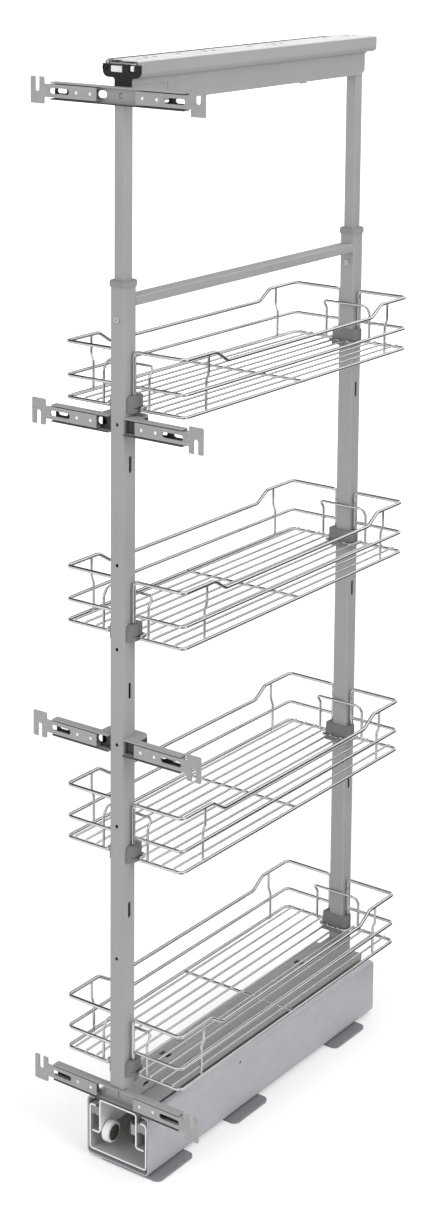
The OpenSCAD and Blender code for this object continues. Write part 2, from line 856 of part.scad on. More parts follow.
// Outline of the plates that go round the front post
module wrap_outline(grow) {
    depth = wrap_back - arm_face - 0.3 + grow;
    translate([0, arm_face + 0.3]) difference() {
        translate([0, -wrap_r]) round_rect(2 * (wrap_half + grow), depth + wrap_r, wrap_r + grow);
        translate([-wrap_half * 2, -2 * wrap_r]) square([wrap_half * 4, 2 * wrap_r]);
    }
}

// Channel parted at the front post, with plates and a strap that go round behind it
module wrap_channel(z) {
    t = chan_sheet;
    hole_w = post_w + 2 * seat_gap;
    color([0.62, 0.62, 0.61]) translate([0, 0, z]) difference() {
        union() {
            along_x(-chan_len / 2, chan_len / 2) channel_section();
            for (h = [-chan_h / 2, chan_h / 2 - t]) translate([0, 0, h]) linear_extrude(t) wrap_outline(0);
            translate([0, 0, -chan_h / 2]) linear_extrude(chan_h) difference() {
                wrap_outline(0);
                wrap_outline(-t);
                translate([-wrap_half - 1, arm_face - 1]) square([2 * wrap_half + 2, chan_d + 1 - t]);
            }
        }
        channel_web_slots();
        // room for the post
        translate([-hole_w / 2, arm_face - 1, -chan_h])
            cube([hole_w, post_d + 3.5 + 1 + seat_gap, 2 * chan_h]);
        translate([0, wrap_back + 1, 0]) rotate([90, 0, 0]) cylinder(d = 5.1, h = t + 2);
    }
}

module bracket_channel_1() { plain_channel(bracket_z[0]); }
module bracket_channel_2() { wrap_channel(bracket_z[1]); }
module bracket_channel_3() { wrap_channel(bracket_z[2]); }
module bracket_channel_4() { plain_channel(bracket_z[3]); }

// Grub screws behind the post that clamp the wrap-round brackets
module bracket_clamps() {
    color([0.7, 0.7, 0.68]) for (i = [1, 2])
        translate([0, wrap_back + 1.5, bracket_z[i]]) rotate([90, 0, 0]) difference() {
            union() {
                cylinder(d = 5, h = wrap_back + 1.5 + post_in);
                translate([0, 0, -1.5]) cylinder(d = 9, h = 1.5);
            }
            translate([0, 0, -2]) cylinder(d = 3.5, h = 2.4, $fn = 6);
        }
}

// One bracket arm: a face plate with turned-in edges and a slotted hook plate.
// side is 1 for the right arm; up is 1 where the hook's slot opens upwards.
module arm(z, side, up) {
    t = chan_sheet;
    arm_h = chan_h - 2 * chan_sheet - 2 * arm_gap;
    edge_d = chan_d - chan_sheet - slide_gap;
    hook_in = hook_half - hook_w;
    fold_out = chan_len / 2 + 3;
    color([0.6, 0.6, 0.59]) translate([0, 0, z]) mirror([side > 0 ? 0 : 1, 0, 0]) difference() {
        union() {
            translate([arm_in, arm_face, -arm_h / 2]) cube([hook_in - arm_in + 2, t, arm_h]);
            for (e = [-arm_h / 2, arm_h / 2 - t])
                translate([arm_in, arm_face, e]) cube([fold_out - arm_in, edge_d, t]);
            along_hook(t) translate([hook_in + hook_w / 2, 0]) round_plate(hook_w, hook_h, 1.5);
        }
        // open slot for the door's screw
        along_hook(t, 1) translate([hook_in + hook_w / 2, up * (hook_h / 2 - 0.5)])
            round_slot(hook_slot, 2 * (hook_h / 2 + 1.5) - 1);
        // two round holes and a long slot for the lock screw
        for (x = [37, 57]) translate([x, arm_face - 1, 0]) rotate([-90, 0, 0]) cylinder(d = 4.8, h = t + 2);
        along_hook(t, 1) translate([81.5, 0]) rotate([0, 0, 90]) round_slot(6.6, 29);
    }
}

// Extrudes an (x, z) outline through the arm's face plate
module along_hook(t, over = 0) {
    translate([0, arm_face - over + t + 2 * over, 0]) rotate([90, 0, 0]) linear_extrude(t + 2 * over) children();
}

module arm_1_left() { arm(bracket_z[0], -1, 1); }
module arm_1_right() { arm(bracket_z[0], 1, 1); }
module arm_2_left() { arm(bracket_z[1], -1, -1); }
module arm_2_right() { arm(bracket_z[1], 1, -1); }
module arm_3_left() { arm(bracket_z[2], -1, -1); }
module arm_3_right() { arm(bracket_z[2], 1, -1); }
module arm_4_left() { arm(bracket_z[3], -1, 1); }
module arm_4_right() { arm(bracket_z[3], 1, 1); }

// ---------------------------------------------------------------- baskets

// Plan of a clip: a bridge on the post's inner face, and a cheek each side that covers
// the basket's tail and then narrows along the post
module clip_plan() {
    inner = post_in - clip_back;
    slim = post_w / 2 + 2.6;
    corner = 3;
    covered = post_in + basket_lap + rail_wire / 2;
    polygon([
        [corner - clip_half, inner], [clip_half - corner, inner], [clip_half, inner + corner],
        [clip_half - 0.3, covered - 3], [clip_half - 1.4, covered + 0.6],
        [slim + 0.6, post_in + clip_front - 2], [slim, post_in + clip_front],
        [-slim, post_in + clip_front], [-slim - 0.6, post_in + clip_front - 2],
        [1.4 - clip_half, covered + 0.6], [0.3 - clip_half, covered - 3], [-clip_half, inner + corner]
    ]);
}

// Side view of a clip, its outer top corner rounded
module clip_side() {
    inner = post_in - clip_back;
    r = 6;
    low = -clip_low;
    translate([inner - 1, low]) square([clip_back + clip_front + 1 - r, clip_h - low]);
    translate([inner, low]) square([clip_back + clip_front, clip_h - low - r]);
    translate([post_in + clip_front - r, clip_h - r]) circle(r);
}

// Clip on the rear post that carries a basket's end
module clip(z) {
    under = frame_wire / 2 + seat_gap;
    hook_half_w = clip_half - 5;
    slant = 6.5;
    lip_y = notch_y - under - hook_t;
    translate([0, 0, z]) {
        difference() {
            intersection() {
                translate([0, 0, -clip_h]) linear_extrude(3 * clip_h) clip_plan();
                along_x(-clip_half - 1, clip_half + 1) clip_side();
            }
            // room for the post
            translate([-post_w / 2 - seat_gap, post_in - seat_gap, -clip_h])
                cube([post_w + 2 * seat_gap, 2 * clip_front, 3 * clip_h]);
            // bores for the basket's tails
            for (x = [-1, 1]) translate([x * tail_x, basket_end, tail_low - seat_gap])
                cylinder(d = rail_wire + 2 * seat_gap, h = 2 * clip_h, $fn = wire_fn);
            // groove along the foot of each cheek, and its slanted lower inner corner
            for (x = [-1, 1]) {
                translate([x * clip_half, post_in + 3, 1.6]) cube([6, 24, 1], center = true);
                translate([x * (hook_half_w + 4.2), post_in - clip_back, -clip_low])
                    rotate([45, 0, 0]) cube([8, slant, slant], center = true);
            }
        }
        // hook under the basket's notch
        translate([-hook_half_w, lip_y, -clip_low])
            cube([2 * hook_half_w, post_in - seat_gap - lip_y, hook_t]);
        translate([-hook_half_w, lip_y, -clip_low]) cube([2 * hook_half_w, hook_t, clip_low]);
    }
}

module rear_clips() {
    color([0.4, 0.4, 0.4]) for (z = floors) clip(z);
}

module front_clips() {
    color([0.4, 0.4, 0.4]) rotate([0, 0, 180]) for (z = floors) clip(z);
}

corner_r = 6;
wire_r = 5;
bend_swell = 0.04;
wire_lap = 0.25;

// Closed wire round the floor, notched round the clip at each end
module floor_frame() {
    half = [
        [side_x, -basket_end, corner_r], [side_x, basket_end, corner_r],
        [notch_x, basket_end, wire_r], [notch_x, notch_y, wire_r],
        [-notch_x, notch_y, wire_r], [-notch_x, basket_end, wire_r]
    ];
    other = [for (p = half) [-p[0], -p[1], p[2]]];
    bent_wire(concat(half, other), frame_wire, closed = true);
}

// Middle rail along one side, turned in at both ends up to the tails
module mid_rail() {
    translate([0, 0, mid_h]) bent_wire([
        [tail_x + 1, -basket_end, 0], [side_x, -basket_end, corner_r],
        [side_x, basket_end, corner_r], [tail_x + 1, basket_end, 0]
    ], frame_wire);
}

// Stands a flat path up in the plane x = const: its x runs along Y and its y along Z
module in_side_plane(x) {
    translate([x, 0, 0]) rotate([90, 0, 90]) children();
}

// Stands a flat path up in the plane y = const: its y runs along Z
module in_end_plane(y) {
    translate([0, y, 0]) rotate([90, 0, 0]) children();
}

// Top rail on one side: a dipped stretch, two corners, and a tail beside each post
module top_rail_wire() {
    low = rail_h - rail_dip;
    rise = 22;
    high_y = basket_end - dip_start;
    straight = basket_end - corner_r + wire_lap;
    in_side_plane(side_x) bent_wire([
        [-straight, rail_h, 0], [-high_y, rail_h, 14], [rise - high_y, low, 14],
        [high_y - rise, low, 14], [high_y, rail_h, 14], [straight, rail_h, 0]
    ], rail_wire);
    for (s = [-1, 1]) {
        translate([0, 0, rail_h])
            elbow([side_x, 0], [side_x, s * basket_end, corner_r], [0, s * basket_end], rail_wire);
        in_end_plane(s * basket_end) bent_wire([
            [side_x - corner_r + wire_lap, rail_h, 0], [tail_x, rail_h, wire_r], [tail_x, tail_low, 0]
        ], rail_wire);
    }
}

// Corner upright: down from the top rail, in past the middle rail, to the floor frame
module upright(y) {
    in_x = side_x - (frame_wire + upright_wire) / 2 + weld;
    top = rail_h - 22;
    in_end_plane(y) bent_wire([
        [side_x, rail_h, 0], [side_x, top, wire_r], [in_x, top - 9, wire_r], [in_x, 0, 0]
    ], upright_wire);
}

// Guard that keeps goods off the post: two legs that lean in, and a bridge
module guard() {
    in_y = post_in - upright_wire / 2 - 1.2;
    leg_y = basket_end - (frame_wire + upright_wire) / 2 + weld;
    knee = guard_h - 11;
    lean = [in_y - leg_y, guard_h - knee];
    u = lean / norm(lean);
    run_in = wire_r - wire_lap;
    for (s = [-1, 1]) in_side_plane(s * guard_half) bent_wire([
        [leg_y, 0, 0], [leg_y, knee, wire_r], [in_y - u[0] * run_in, guard_h - u[1] * run_in, 0]
    ], upright_wire);
    translate([0, in_y, guard_h]) rotate([atan2(lean[1], lean[0]), 0, 0]) {
        for (s = [-1, 1])
            elbow([s * guard_half, -guard_half], [s * guard_half, 0, wire_r], [0, 0], upright_wire);
        bar([run_in - guard_half, 0], [guard_half - run_in, 0], upright_wire);
    }
}

module basket(z) {
    wires = floor(basket_w / wire_gap);
    color([0.78, 0.78, 0.77]) translate([0, 0, z]) {
        floor_frame();
        both_ends() {
            mid_rail();
            top_rail_wire();
            for (s = [-1, 1]) upright(s * (basket_end - upright_in));
            guard();
        }
        // floor wires, shorter where the frame is notched round the clips
        for (i = [0:wires - 1]) {
            x = (i - (wires - 1) / 2) * wire_gap;
            end = abs(x) < notch_x ? notch_y : basket_end;
            translate([0, 0, floor_up]) bar([x, -end], [x, end], floor_wire);
        }
        bar([-side_x, 0], [side_x, 0], frame_wire - 0.4);
    }
}

module basket_1() { basket(floors[0]); }
module basket_2() { basket(floors[1]); }
module basket_3() { basket(floors[2]); }
module basket_4() { basket(floors[3]); }

// ---------------------------------------------------------------- nodes

base_housing();
mounting_feet();
intermediate_profile();
guide_blocks();
ball_strips();
carriage_profile();
carriage_plate();
base_beam();
adjuster_barrel();
adjuster_bolt();
front_post();
rear_post();
collars();
cross_bar();
clamp_screws();
beam_screws();
roller_hub();
front_roller();
front_upper_tube();
rear_upper_tube();
top_housing();
top_end_cap();
top_inner_member();
top_rail();
top_intermediate();
top_ball_cages();
bracket_channel_1();
bracket_channel_2();
bracket_channel_3();
bracket_channel_4();
bracket_clamps();
arm_1_left();
arm_1_right();
arm_2_left();
arm_2_right();
arm_3_left();
arm_3_right();
arm_4_left();
arm_4_right();
front_clips();
rear_clips();
basket_1();
basket_2();
basket_3();
basket_4();
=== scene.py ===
"""Looks of a pull out larder unit: chrome wire baskets, coated frame and slides, and a pale studio.

Every new piece is a surface worked out with numpy on a grid of two parameters. Lengths are in
metres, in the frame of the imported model: X is the width, -Y the cabinet door side, +Z is up.
"""

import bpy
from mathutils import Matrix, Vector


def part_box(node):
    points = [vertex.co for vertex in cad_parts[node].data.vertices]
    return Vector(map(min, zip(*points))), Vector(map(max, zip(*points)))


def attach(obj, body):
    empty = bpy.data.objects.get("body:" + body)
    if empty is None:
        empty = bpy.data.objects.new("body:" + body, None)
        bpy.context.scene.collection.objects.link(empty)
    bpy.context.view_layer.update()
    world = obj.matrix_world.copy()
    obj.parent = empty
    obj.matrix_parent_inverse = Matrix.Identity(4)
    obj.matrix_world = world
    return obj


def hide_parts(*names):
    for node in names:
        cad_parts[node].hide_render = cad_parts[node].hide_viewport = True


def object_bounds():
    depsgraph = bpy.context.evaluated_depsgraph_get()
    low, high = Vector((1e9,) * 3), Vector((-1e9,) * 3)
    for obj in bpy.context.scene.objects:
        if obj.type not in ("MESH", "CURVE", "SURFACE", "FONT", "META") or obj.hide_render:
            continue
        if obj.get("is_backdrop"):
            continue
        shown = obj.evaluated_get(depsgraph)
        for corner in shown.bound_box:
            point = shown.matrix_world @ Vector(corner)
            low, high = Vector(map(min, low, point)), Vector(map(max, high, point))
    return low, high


bl_info = {
    "name": "Pull Out Larder Unit",
    "version": (1, 0, 0),
    "blender": (4, 5, 0),
    "location": "3D View > Sidebar > Larder",
    "description": "Chrome wire baskets, coated frame, slides and a pale studio for a pull out larder unit",
    "category": "Object",
}

import math

import bpy
import numpy as np
from mathutils import Matrix, Vector

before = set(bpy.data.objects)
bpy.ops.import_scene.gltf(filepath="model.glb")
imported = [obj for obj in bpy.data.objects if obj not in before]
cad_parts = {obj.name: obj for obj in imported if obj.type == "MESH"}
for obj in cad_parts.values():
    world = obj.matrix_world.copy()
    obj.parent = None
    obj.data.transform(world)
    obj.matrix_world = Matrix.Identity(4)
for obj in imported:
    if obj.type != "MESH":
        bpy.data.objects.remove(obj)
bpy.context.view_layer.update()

MM = 0.001

# As in the CAD: thickness of the slides' sheet and of the tubes, and the carriage hat's half width.
SHEET, WALL, HAT_HALF = 2 * MM, 1.5 * MM, 28.5 * MM
# Profiles of the small turned pieces, as (height along the axis, radius).
STUD = np.array([(-0.9, 0), (-0.9, 2.2), (0.2, 2.2), (0.5, 1.6), (0.6, 0)]) * MM
KNOB = np.array([(-1, 0), (-1, 3.6), (1.2, 3.6), (1.8, 3), (1.8, 2.2), (1.1, 1.8), (1.1, 0)]) * MM
# Distances of an arm's two studs from the unit's middle plane.
STUD_PLACES = (37 * MM, 57 * MM)
# How far a stud's foot lies behind the arm's front.
STUD_DEPTH = 0.6 * MM
# The bracket channels that go round the front post; the middle between their arms takes painted shade too.
WRAPPED = ("bracket_channel_2", "bracket_channel_3")
# Parts of a bracket channel painted dark as shade: thickness of its lips, whose lower front edge takes
# painted shade, depth of its web behind the lips' front, middle and half width of the painted shade on the
# web behind an arm, and half width of the painted shade on the web between the arms.
LIP, WEB_DEPTH, ARM_WEB_SHADE, MIDDLE_WEB_SHADE = 1.6 * MM, 8.2 * MM, (86 * MM, 26 * MM), 28 * MM
# Half thickness of the mask that paints shade on one face.
SHADE_MASK = 0.5 * MM
# Radius of the roller's hub face, as a share of the roller's diameter.
HUB_SHARE = 0.37
# Half sizes of the weld drops: an upright on a side wire, a guard on an end wire, a floor wire on
# the frame.
SIDE_WELD = (1.2 * MM, 2.2 * MM, 2.2 * MM)
END_WELD = (2.2 * MM, 1.2 * MM, 2.2 * MM)
FLOOR_WELD = (1.9 * MM, 1.7 * MM, 0.9 * MM)
# Distance from the rail's top down to the slide's floor.
SLIDE_DEPTH = 20 * MM
# Dark line of painted shade along the rail's far top edge: width, depth, and how far it stops before the
# rail's far end.
SHADE_LINE_WIDTH, SHADE_LINE_DEPTH, SHADE_LINE_STOP = 9 * MM, 1 * MM, 45 * MM
# The cap's knob: x, distance behind the cap's front, and height over the slide's floor.
KNOB_PLACE = (-23.4 * MM, 0.8 * MM, 10.6 * MM)
# The slide's two white stops: x, height over the slide's floor, and half size.
STOPS = (
    (-7.7 * MM, 9.6 * MM, (8.4 * MM, 2.2 * MM, 3.9 * MM)),
    (14.4 * MM, 10.6 * MM, (2.8 * MM, 2.2 * MM, 3.2 * MM)),
)
# Groups of rail holes: distances from the housing's front, and of the last one from the rail's end.
HOLE_GROUPS, LAST_GROUP = (27 * MM, 139 * MM, 279 * MM), 43.5 * MM
# Dark marks round each group of rail holes: y from the group, x, half width and half length.
MARKS = np.array([(-33, -3, 5.5, 6), (9, 5, 4.5, 5), (17, -4, 6, 4), (28, 2, 4, 7)]) * MM

# Camera: turn, height angle and roll in degrees, and place.
CAMERA_TURN = (35.975, 9.093, 0.479)
CAMERA_PLACE = (1.573, -2.220, 1.553)
# Lamps: name, place, width, height and watts.
LAMPS = (
    ("key_light", (-1.6, -3.2, 2.2), 2.0, 2.4, 38),
    ("side_light", (3.2, -0.6, 1.9), 1.4, 2.0, 49),
    ("top_light", (0.2, 0.2, 3.4), 2.2, 2.2, 26),
)
# Point that the lamps face.
LAMP_TARGET = (0.0, 0.0, 0.65)
# Half width of the floor in metres, and its distance below the object.
FLOOR_HALF, FLOOR_DROP = 30.0, 0.2 * MM
# Upright flags: name, radius, start and end in degrees, low and high edge.
WALL_FLAGS = (
    ("front_flag", 4.2, 284, 344, 0.0, 1.4),
    ("right_flag", 3.4, 2, 78, 0.0, 1.1),
    ("left_flag", 4.4, 190, 234, 2.1, 3.9),
    ("rear_flag_high", 4.4, 122, 165, 2.3, 3.9),
    ("rear_flag_low", 4.4, 105, 150, 0.0, 1.5),
)
# Flags on the floor: name, near and far radius, start and end in degrees.
GROUND_FLAGS = (
    ("front_ground_flag", 0.6, 4.2, 284, 344),
    ("right_ground_flag", 0.34, 3.4, 30, 84),
)
REAR_GROUND_FLAG = ("rear_ground_flag", 0.7, 4.4, 105, 150)
# Flag overhead: name, low and high x, low and high y, and height.
CEILING_FLAG = ("ceiling_flag", -6.0, -0.9, -3.4, 5.5, 3.8)


def span(node, axis):
    """Lowest and highest coordinate of a CAD node along an axis, 0 to 2."""
    low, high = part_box(node)
    return low[axis], high[axis]


# ------------------------------------------------------------------ sizes and colours


def length_of(value, name, text):
    """A length property in metres."""
    return bpy.props.FloatProperty(
        name=name, description=text, default=value, unit="LENGTH", precision=4, min=0.0
    )


def paint(value, name, text):
    """A colour property; value is the colour as seen, and it is kept as linear light."""
    seen = np.array(value) / 255.0
    linear = np.where(seen <= 0.04045, seen / 12.92, ((seen + 0.055) / 1.055) ** 2.4)
    return bpy.props.FloatVectorProperty(
        name=name, description=text, default=tuple(linear), subtype="COLOR", min=0.0, max=1.0
    )


def share(value, name, text):
    """A share from 0 to 1."""
    return bpy.props.FloatProperty(
        name=name, description=text, default=value, subtype="FACTOR", min=0.0, max=1.0
    )


class LarderWireSizes(bpy.types.PropertyGroup):
    """Sizes of one basket, measured from its floor wire"""

    rail_wire: length_of(4.4 * MM, "Rail wire", "Diameter of the dipped top rail")
    frame_wire: length_of(4.0 * MM, "Frame wire", "Diameter of the floor frame and the middle rail")
    floor_wire: length_of(2.6 * MM, "Floor wire", "Diameter of the wires that goods stand on")
    upright_wire: length_of(3.2 * MM, "Upright wire", "Diameter of the uprights and the post guards")
    wire_gap: length_of(16.4 * MM, "Floor wire spacing", "Distance between two floor wires")
    rail_height: length_of(66 * MM, "Rail height", "Height of the top rail above the floor wire")
    middle_height: length_of(26 * MM, "Middle rail height", "Height of the middle rail above the floor wire")
    dip: length_of(13.5 * MM, "Dip", "How far the top rail dips along the sides")
    dip_start: length_of(59 * MM, "Dip start", "Distance from a basket end to the start of the dip")
    dip_run: length_of(22 * MM, "Dip run", "Length over which the rail goes down")
    upright_in: length_of(45 * MM, "Corner upright", "Distance of a corner upright from the basket end")
    guard_half: length_of(33 * MM, "Guard half width", "Half width of the guard round a post")
    guard_height: length_of(50 * MM, "Guard height", "Height of the guard's bridge")
    tail_half: length_of(14.5 * MM, "Tail", "Distance of a rail's tail from the middle")
    tail_foot: length_of(3 * MM, "Tail foot", "Height of a tail's end above the floor wire")
    notch_half: length_of(21.2 * MM, "Notch half width", "Half width of the notch round a clip")
    notch_in: length_of(6.8 * MM, "Notch depth", "Distance of the notch from the post's inner face")
    jog_drop: length_of(22 * MM, "Jog drop", "Distance from the top rail down to an upright's jog")
    jog_run: length_of(9 * MM, "Jog height", "Height over which an upright goes inwards")
    guard_knee: length_of(11 * MM, "Guard slope", "Height over which the guard leans to the post")
    guard_gap: length_of(1.2 * MM, "Guard gap", "Gap between the guard's bridge and the post")
    corner_bend: length_of(6 * MM, "Corner bend", "Bend radius at the basket's corners")
    knee_bend: length_of(5 * MM, "Knee bend", "Bend radius of tails, notches, uprights and guards")
    dip_bend: length_of(14 * MM, "Dip bend", "Bend radius where the top rail dips")
    sink: length_of(0.3 * MM, "Weld depth", "How far a welded wire goes into the one it meets")


class LarderFinishes(bpy.types.PropertyGroup):
    """Colours of the metals and plastics, and of the painted light and shade"""

    post_silver: paint((168, 168, 166), "Post silver", "Silver coat of the posts, beam and cross bar")
    housing_silver: paint((179, 180, 184), "Housing silver", "Zinc coat of the base housing")
    zinc: paint((170, 170, 168), "Zinc", "Galvanised sheet of the door brackets")
    slide_zinc: paint((214, 215, 214), "Slide zinc", "Bright zinc of the slide members")
    chrome: paint((226, 226, 226), "Chrome", "Chrome of the wire baskets")
    clip_grey: paint((122, 122, 122), "Clip grey", "Dark grey plastic of the basket clips")
    foot_grey: paint((140, 140, 144), "Foot grey", "Grey of the mounting feet")
    # Also painted on the carriage hat's inner faces as painted light.
    cap_black: paint((16, 16, 17), "Cap black", "Black plastic of the end cap")
    rail_white: paint((243, 243, 242), "Rail white", "Pale zinc of the cabinet rail")
    nylon: paint((246, 246, 243), "Nylon", "White nylon of the roller")
    # Near white painted on the profiles' cut front ends: bare metal there, made brighter as a painted
    # highlight.
    cut_edge_highlight: paint((252, 252, 252), "Cut edge", "Bare metal where the slide profiles are cut off")
    # Dark grey painted as shade in the bracket channels and along the rail's far top edge; the marks round
    # the rail holes share it.
    shade_and_mark_grey: paint((62, 62, 61), "Shaded edge", "Dark edges of folded sheet")
    stud_white: paint((250, 250, 248), "Stud white", "White studs in the bracket arms and the slide's stops")
    # Near black painted on the bare steel inside the tubes, as painted shade.
    tube_inside_shade: paint((40, 40, 40), "Tube inside", "Bare steel inside the tubes")
    mesh_dark: paint((70, 66, 60), "Mesh dark", "Dark mesh of the roller's hub")
    guide_grey: paint((150, 150, 148), "Guide grey", "Pale grey plastic of the guide blocks")
    collar_grey: paint((146, 146, 145), "Collar grey", "Grey plastic of the collars")


class LarderStage(bpy.types.PropertyGroup):
    """Floor, light and camera"""

    floor_tone: share(0.82, "Floor tone", "How pale the floor is")
    floor_lift: share(0.30, "Floor lift", "White added to the floor near the object, as the camera sees it")
    sky: share(0.6, "Sky", "Strength of the even light from all round")
    flag_tone: share(0.05, "Flag tone", "How dark the flags are that the bright metal reflects")
    ground_tone: share(0.35, "Ground tone", "How dark the flag on the floor behind the object is")
    focal: length_of(66.684 * MM, "Focal length", "Focal length of the camera on a 36 mm wide sensor")
    shift: bpy.props.FloatProperty(name="Shift", description="Vertical shift of the lens", default=-0.32)


# ------------------------------------------------------------------ surfaces


def unit(v):
    """v over its length."""
    return v / np.linalg.norm(v, axis=-1, keepdims=True)


def bent_line(points, radii, closed=False, steps=8):
    """Centreline of a bent wire, as places and headings. It runs straight between the points, and
    at a point it turns on an arc of that point's radius r that touches both straights:
    centre + r (u sin t - n cos t) for t from 0 to the turn, where u is the heading that comes in
    and n points from the corner's outside to the arc's centre."""
    points = np.asarray(points, float)
    n = len(points)
    places, headings = [], []
    if not closed:
        places.append(points[:1])
        headings.append(unit(points[1] - points[0])[None])
    for i in range(n) if closed else range(1, n - 1):
        p, q, s = points[i - 1], points[i], points[(i + 1) % n]
        u, v = unit(q - p), unit(s - q)
        turn = math.acos(float(np.clip(u @ v, -1, 1)))
        inward = unit(v - u * (u @ v))
        r = radii[i]
        t = np.linspace(0, turn, steps + 1)[:, None]
        centre = q - u * (r * math.tan(turn / 2)) + inward * r
        places.append(centre + r * (u * np.sin(t) - inward * np.cos(t)))
        headings.append(u * np.cos(t) + inward * np.sin(t))
    if not closed:
        places.append(points[-1:])
        headings.append(unit(points[-1] - points[-2])[None])
    return np.concatenate(places), np.concatenate(headings)


def grid_faces(rows, cols, wrap_rows=False, wrap_cols=True):
    """Four-cornered faces of a grid whose points are numbered row by row."""
    i = np.arange(rows if wrap_rows else rows - 1)[:, None]
    j = np.arange(cols if wrap_cols else cols - 1)[None, :]
    i2, j2 = (i + 1) % rows, (j + 1) % cols
    quads = np.stack([i * cols + j, i * cols + j2, i2 * cols + j2, i2 * cols + j], axis=-1)
    return quads.reshape(-1, 4)


def surface(points, quads, tris=None, uv_quads=None, uv_tris=None):
    """One sheet of mesh: its points, its faces and the faces' corners in the piece's own UV map."""
    tris = np.zeros((0, 3), int) if tris is None else tris
    uv_quads = np.zeros((len(quads), 4, 2)) if uv_quads is None else uv_quads
    uv_tris = np.zeros((len(tris), 3, 2)) if uv_tris is None else uv_tris
    return {"points": points, "quads": quads, "tris": tris, "uv_quads": uv_quads, "uv_tris": uv_tris}


def wire(line, diameter, closed=False, sides=14):
    """Round wire along a line. A point is place(s) + r(s) (cos a N(s) + sin a B(s)): N is the part of
    a fixed slanting vector that is square to the heading and B = heading x N. At an open end r falls
    to a rounded, closed tip within the wire's length."""
    places, headings = line
    radius = np.full(len(places), diameter / 2)
    if not closed:
        back = np.array([0.0, 0.10, 0.34]) * diameter
        shrink = np.array([0.62, 0.90, 1.0]) * diameter / 2
        head = places[0] + headings[0] * back[:, None]
        foot = places[-1] - headings[-1] * back[::-1, None]
        tips = places[0], places[-1]
        places = np.concatenate([head, places[1:-1], foot])
        radius = np.concatenate([shrink, radius[1:-1], shrink[::-1]])
        before, after = np.repeat(headings[:1], 3, 0), np.repeat(headings[-1:], 3, 0)
        headings = np.concatenate([before, headings[1:-1], after])
    slant = np.array([0.37, 0.61, 0.70])
    across = unit(slant - headings * (headings @ slant)[:, None])
    over = np.cross(headings, across)
    a = np.linspace(0, 2 * math.pi, sides, endpoint=False)[None, :, None]
    ring = np.cos(a) * across[:, None] + np.sin(a) * over[:, None]
    points = (places[:, None] + radius[:, None, None] * ring).reshape(-1, 3)
    quads = grid_faces(len(places), sides, wrap_rows=closed)
    run = np.concatenate([[0], np.cumsum(np.linalg.norm(np.diff(places, axis=0), axis=1))])
    rows, cols = quads[:, 0] // sides, quads[:, 0] % sides
    u = np.stack([run[rows], run[rows], run[(rows + 1) % len(run)], run[(rows + 1) % len(run)]], axis=1)
    v = np.stack([cols, cols + 1, cols + 1, cols], axis=1) * (math.pi * diameter / sides)
    tris = None
    if not closed:
        first, last, j = len(points), len(points) + 1, np.arange(sides)
        j2, top = (j + 1) % sides, (len(places) - 1) * sides
        tris = np.concatenate([
            np.stack([np.full(sides, first), j2, j], axis=1),
            np.stack([np.full(sides, last), top + j, top + j2], axis=1),
        ])
        points = np.concatenate([points, tips[0][None], tips[1][None]])
    return surface(points, quads, tris, np.stack([u, v], axis=-1))


def weld(centre, half, sides=10, rows=6):
    """Weld bead: an ellipsoid, centre + half * (cos p cos a, cos p sin a, sin p), closed at both poles."""
    p = np.linspace(-math.pi / 2, math.pi / 2, rows + 1)[1:-1, None]
    a = np.linspace(0, 2 * math.pi, sides, endpoint=False)[None, :]
    ball = np.stack([np.cos(p) * np.cos(a), np.cos(p) * np.sin(a), np.sin(p) + 0 * a], axis=-1)
    points = np.concatenate([ball.reshape(-1, 3), [[0, 0, -1], [0, 0, 1]]]) * half + centre
    count, j = rows - 1, np.arange(sides)
    j2, low, high = (j + 1) % sides, (rows - 1) * sides, (rows - 1) * sides + 1
    top = (count - 1) * sides
    tris = np.concatenate([
        np.stack([np.full(sides, low), j2, j], axis=1),
        np.stack([np.full(sides, high), top + j, top + j2], axis=1),
    ])
    return surface(points, grid_faces(count, sides), tris)


def turned(profile, centre, axis, sides=32):
    """Surface of revolution: a profile of (height along the axis, radius) points carried round the
    axis, centre + h A + r (cos a N + sin a B), its first and last points on the axis."""
    profile = np.asarray(profile, float)
    axis = unit(np.asarray(axis, float))
    across = unit(np.cross(axis, [0.31, 0.52, 0.79]))
    over = np.cross(axis, across)
    a = np.linspace(0, 2 * math.pi, sides, endpoint=False)[None, :, None]
    ring = np.cos(a) * across + np.sin(a) * over
    body = profile[1:-1]
    points = body[:, 0, None, None] * axis + body[:, 1, None, None] * ring
    poles = profile[[0, -1], 0, None] * axis
    points = np.concatenate([points.reshape(-1, 3), poles]) + np.asarray(centre, float)
    rows, j = len(body), np.arange(sides)
    j2, first, last, top = (j + 1) % sides, rows * sides, rows * sides + 1, (rows - 1) * sides
    tris = np.concatenate([
        np.stack([np.full(sides, first), j2, j], axis=1),
        np.stack([np.full(sides, last), top + j, top + j2], axis=1),
    ])
    return surface(points, grid_faces(rows, sides), tris)


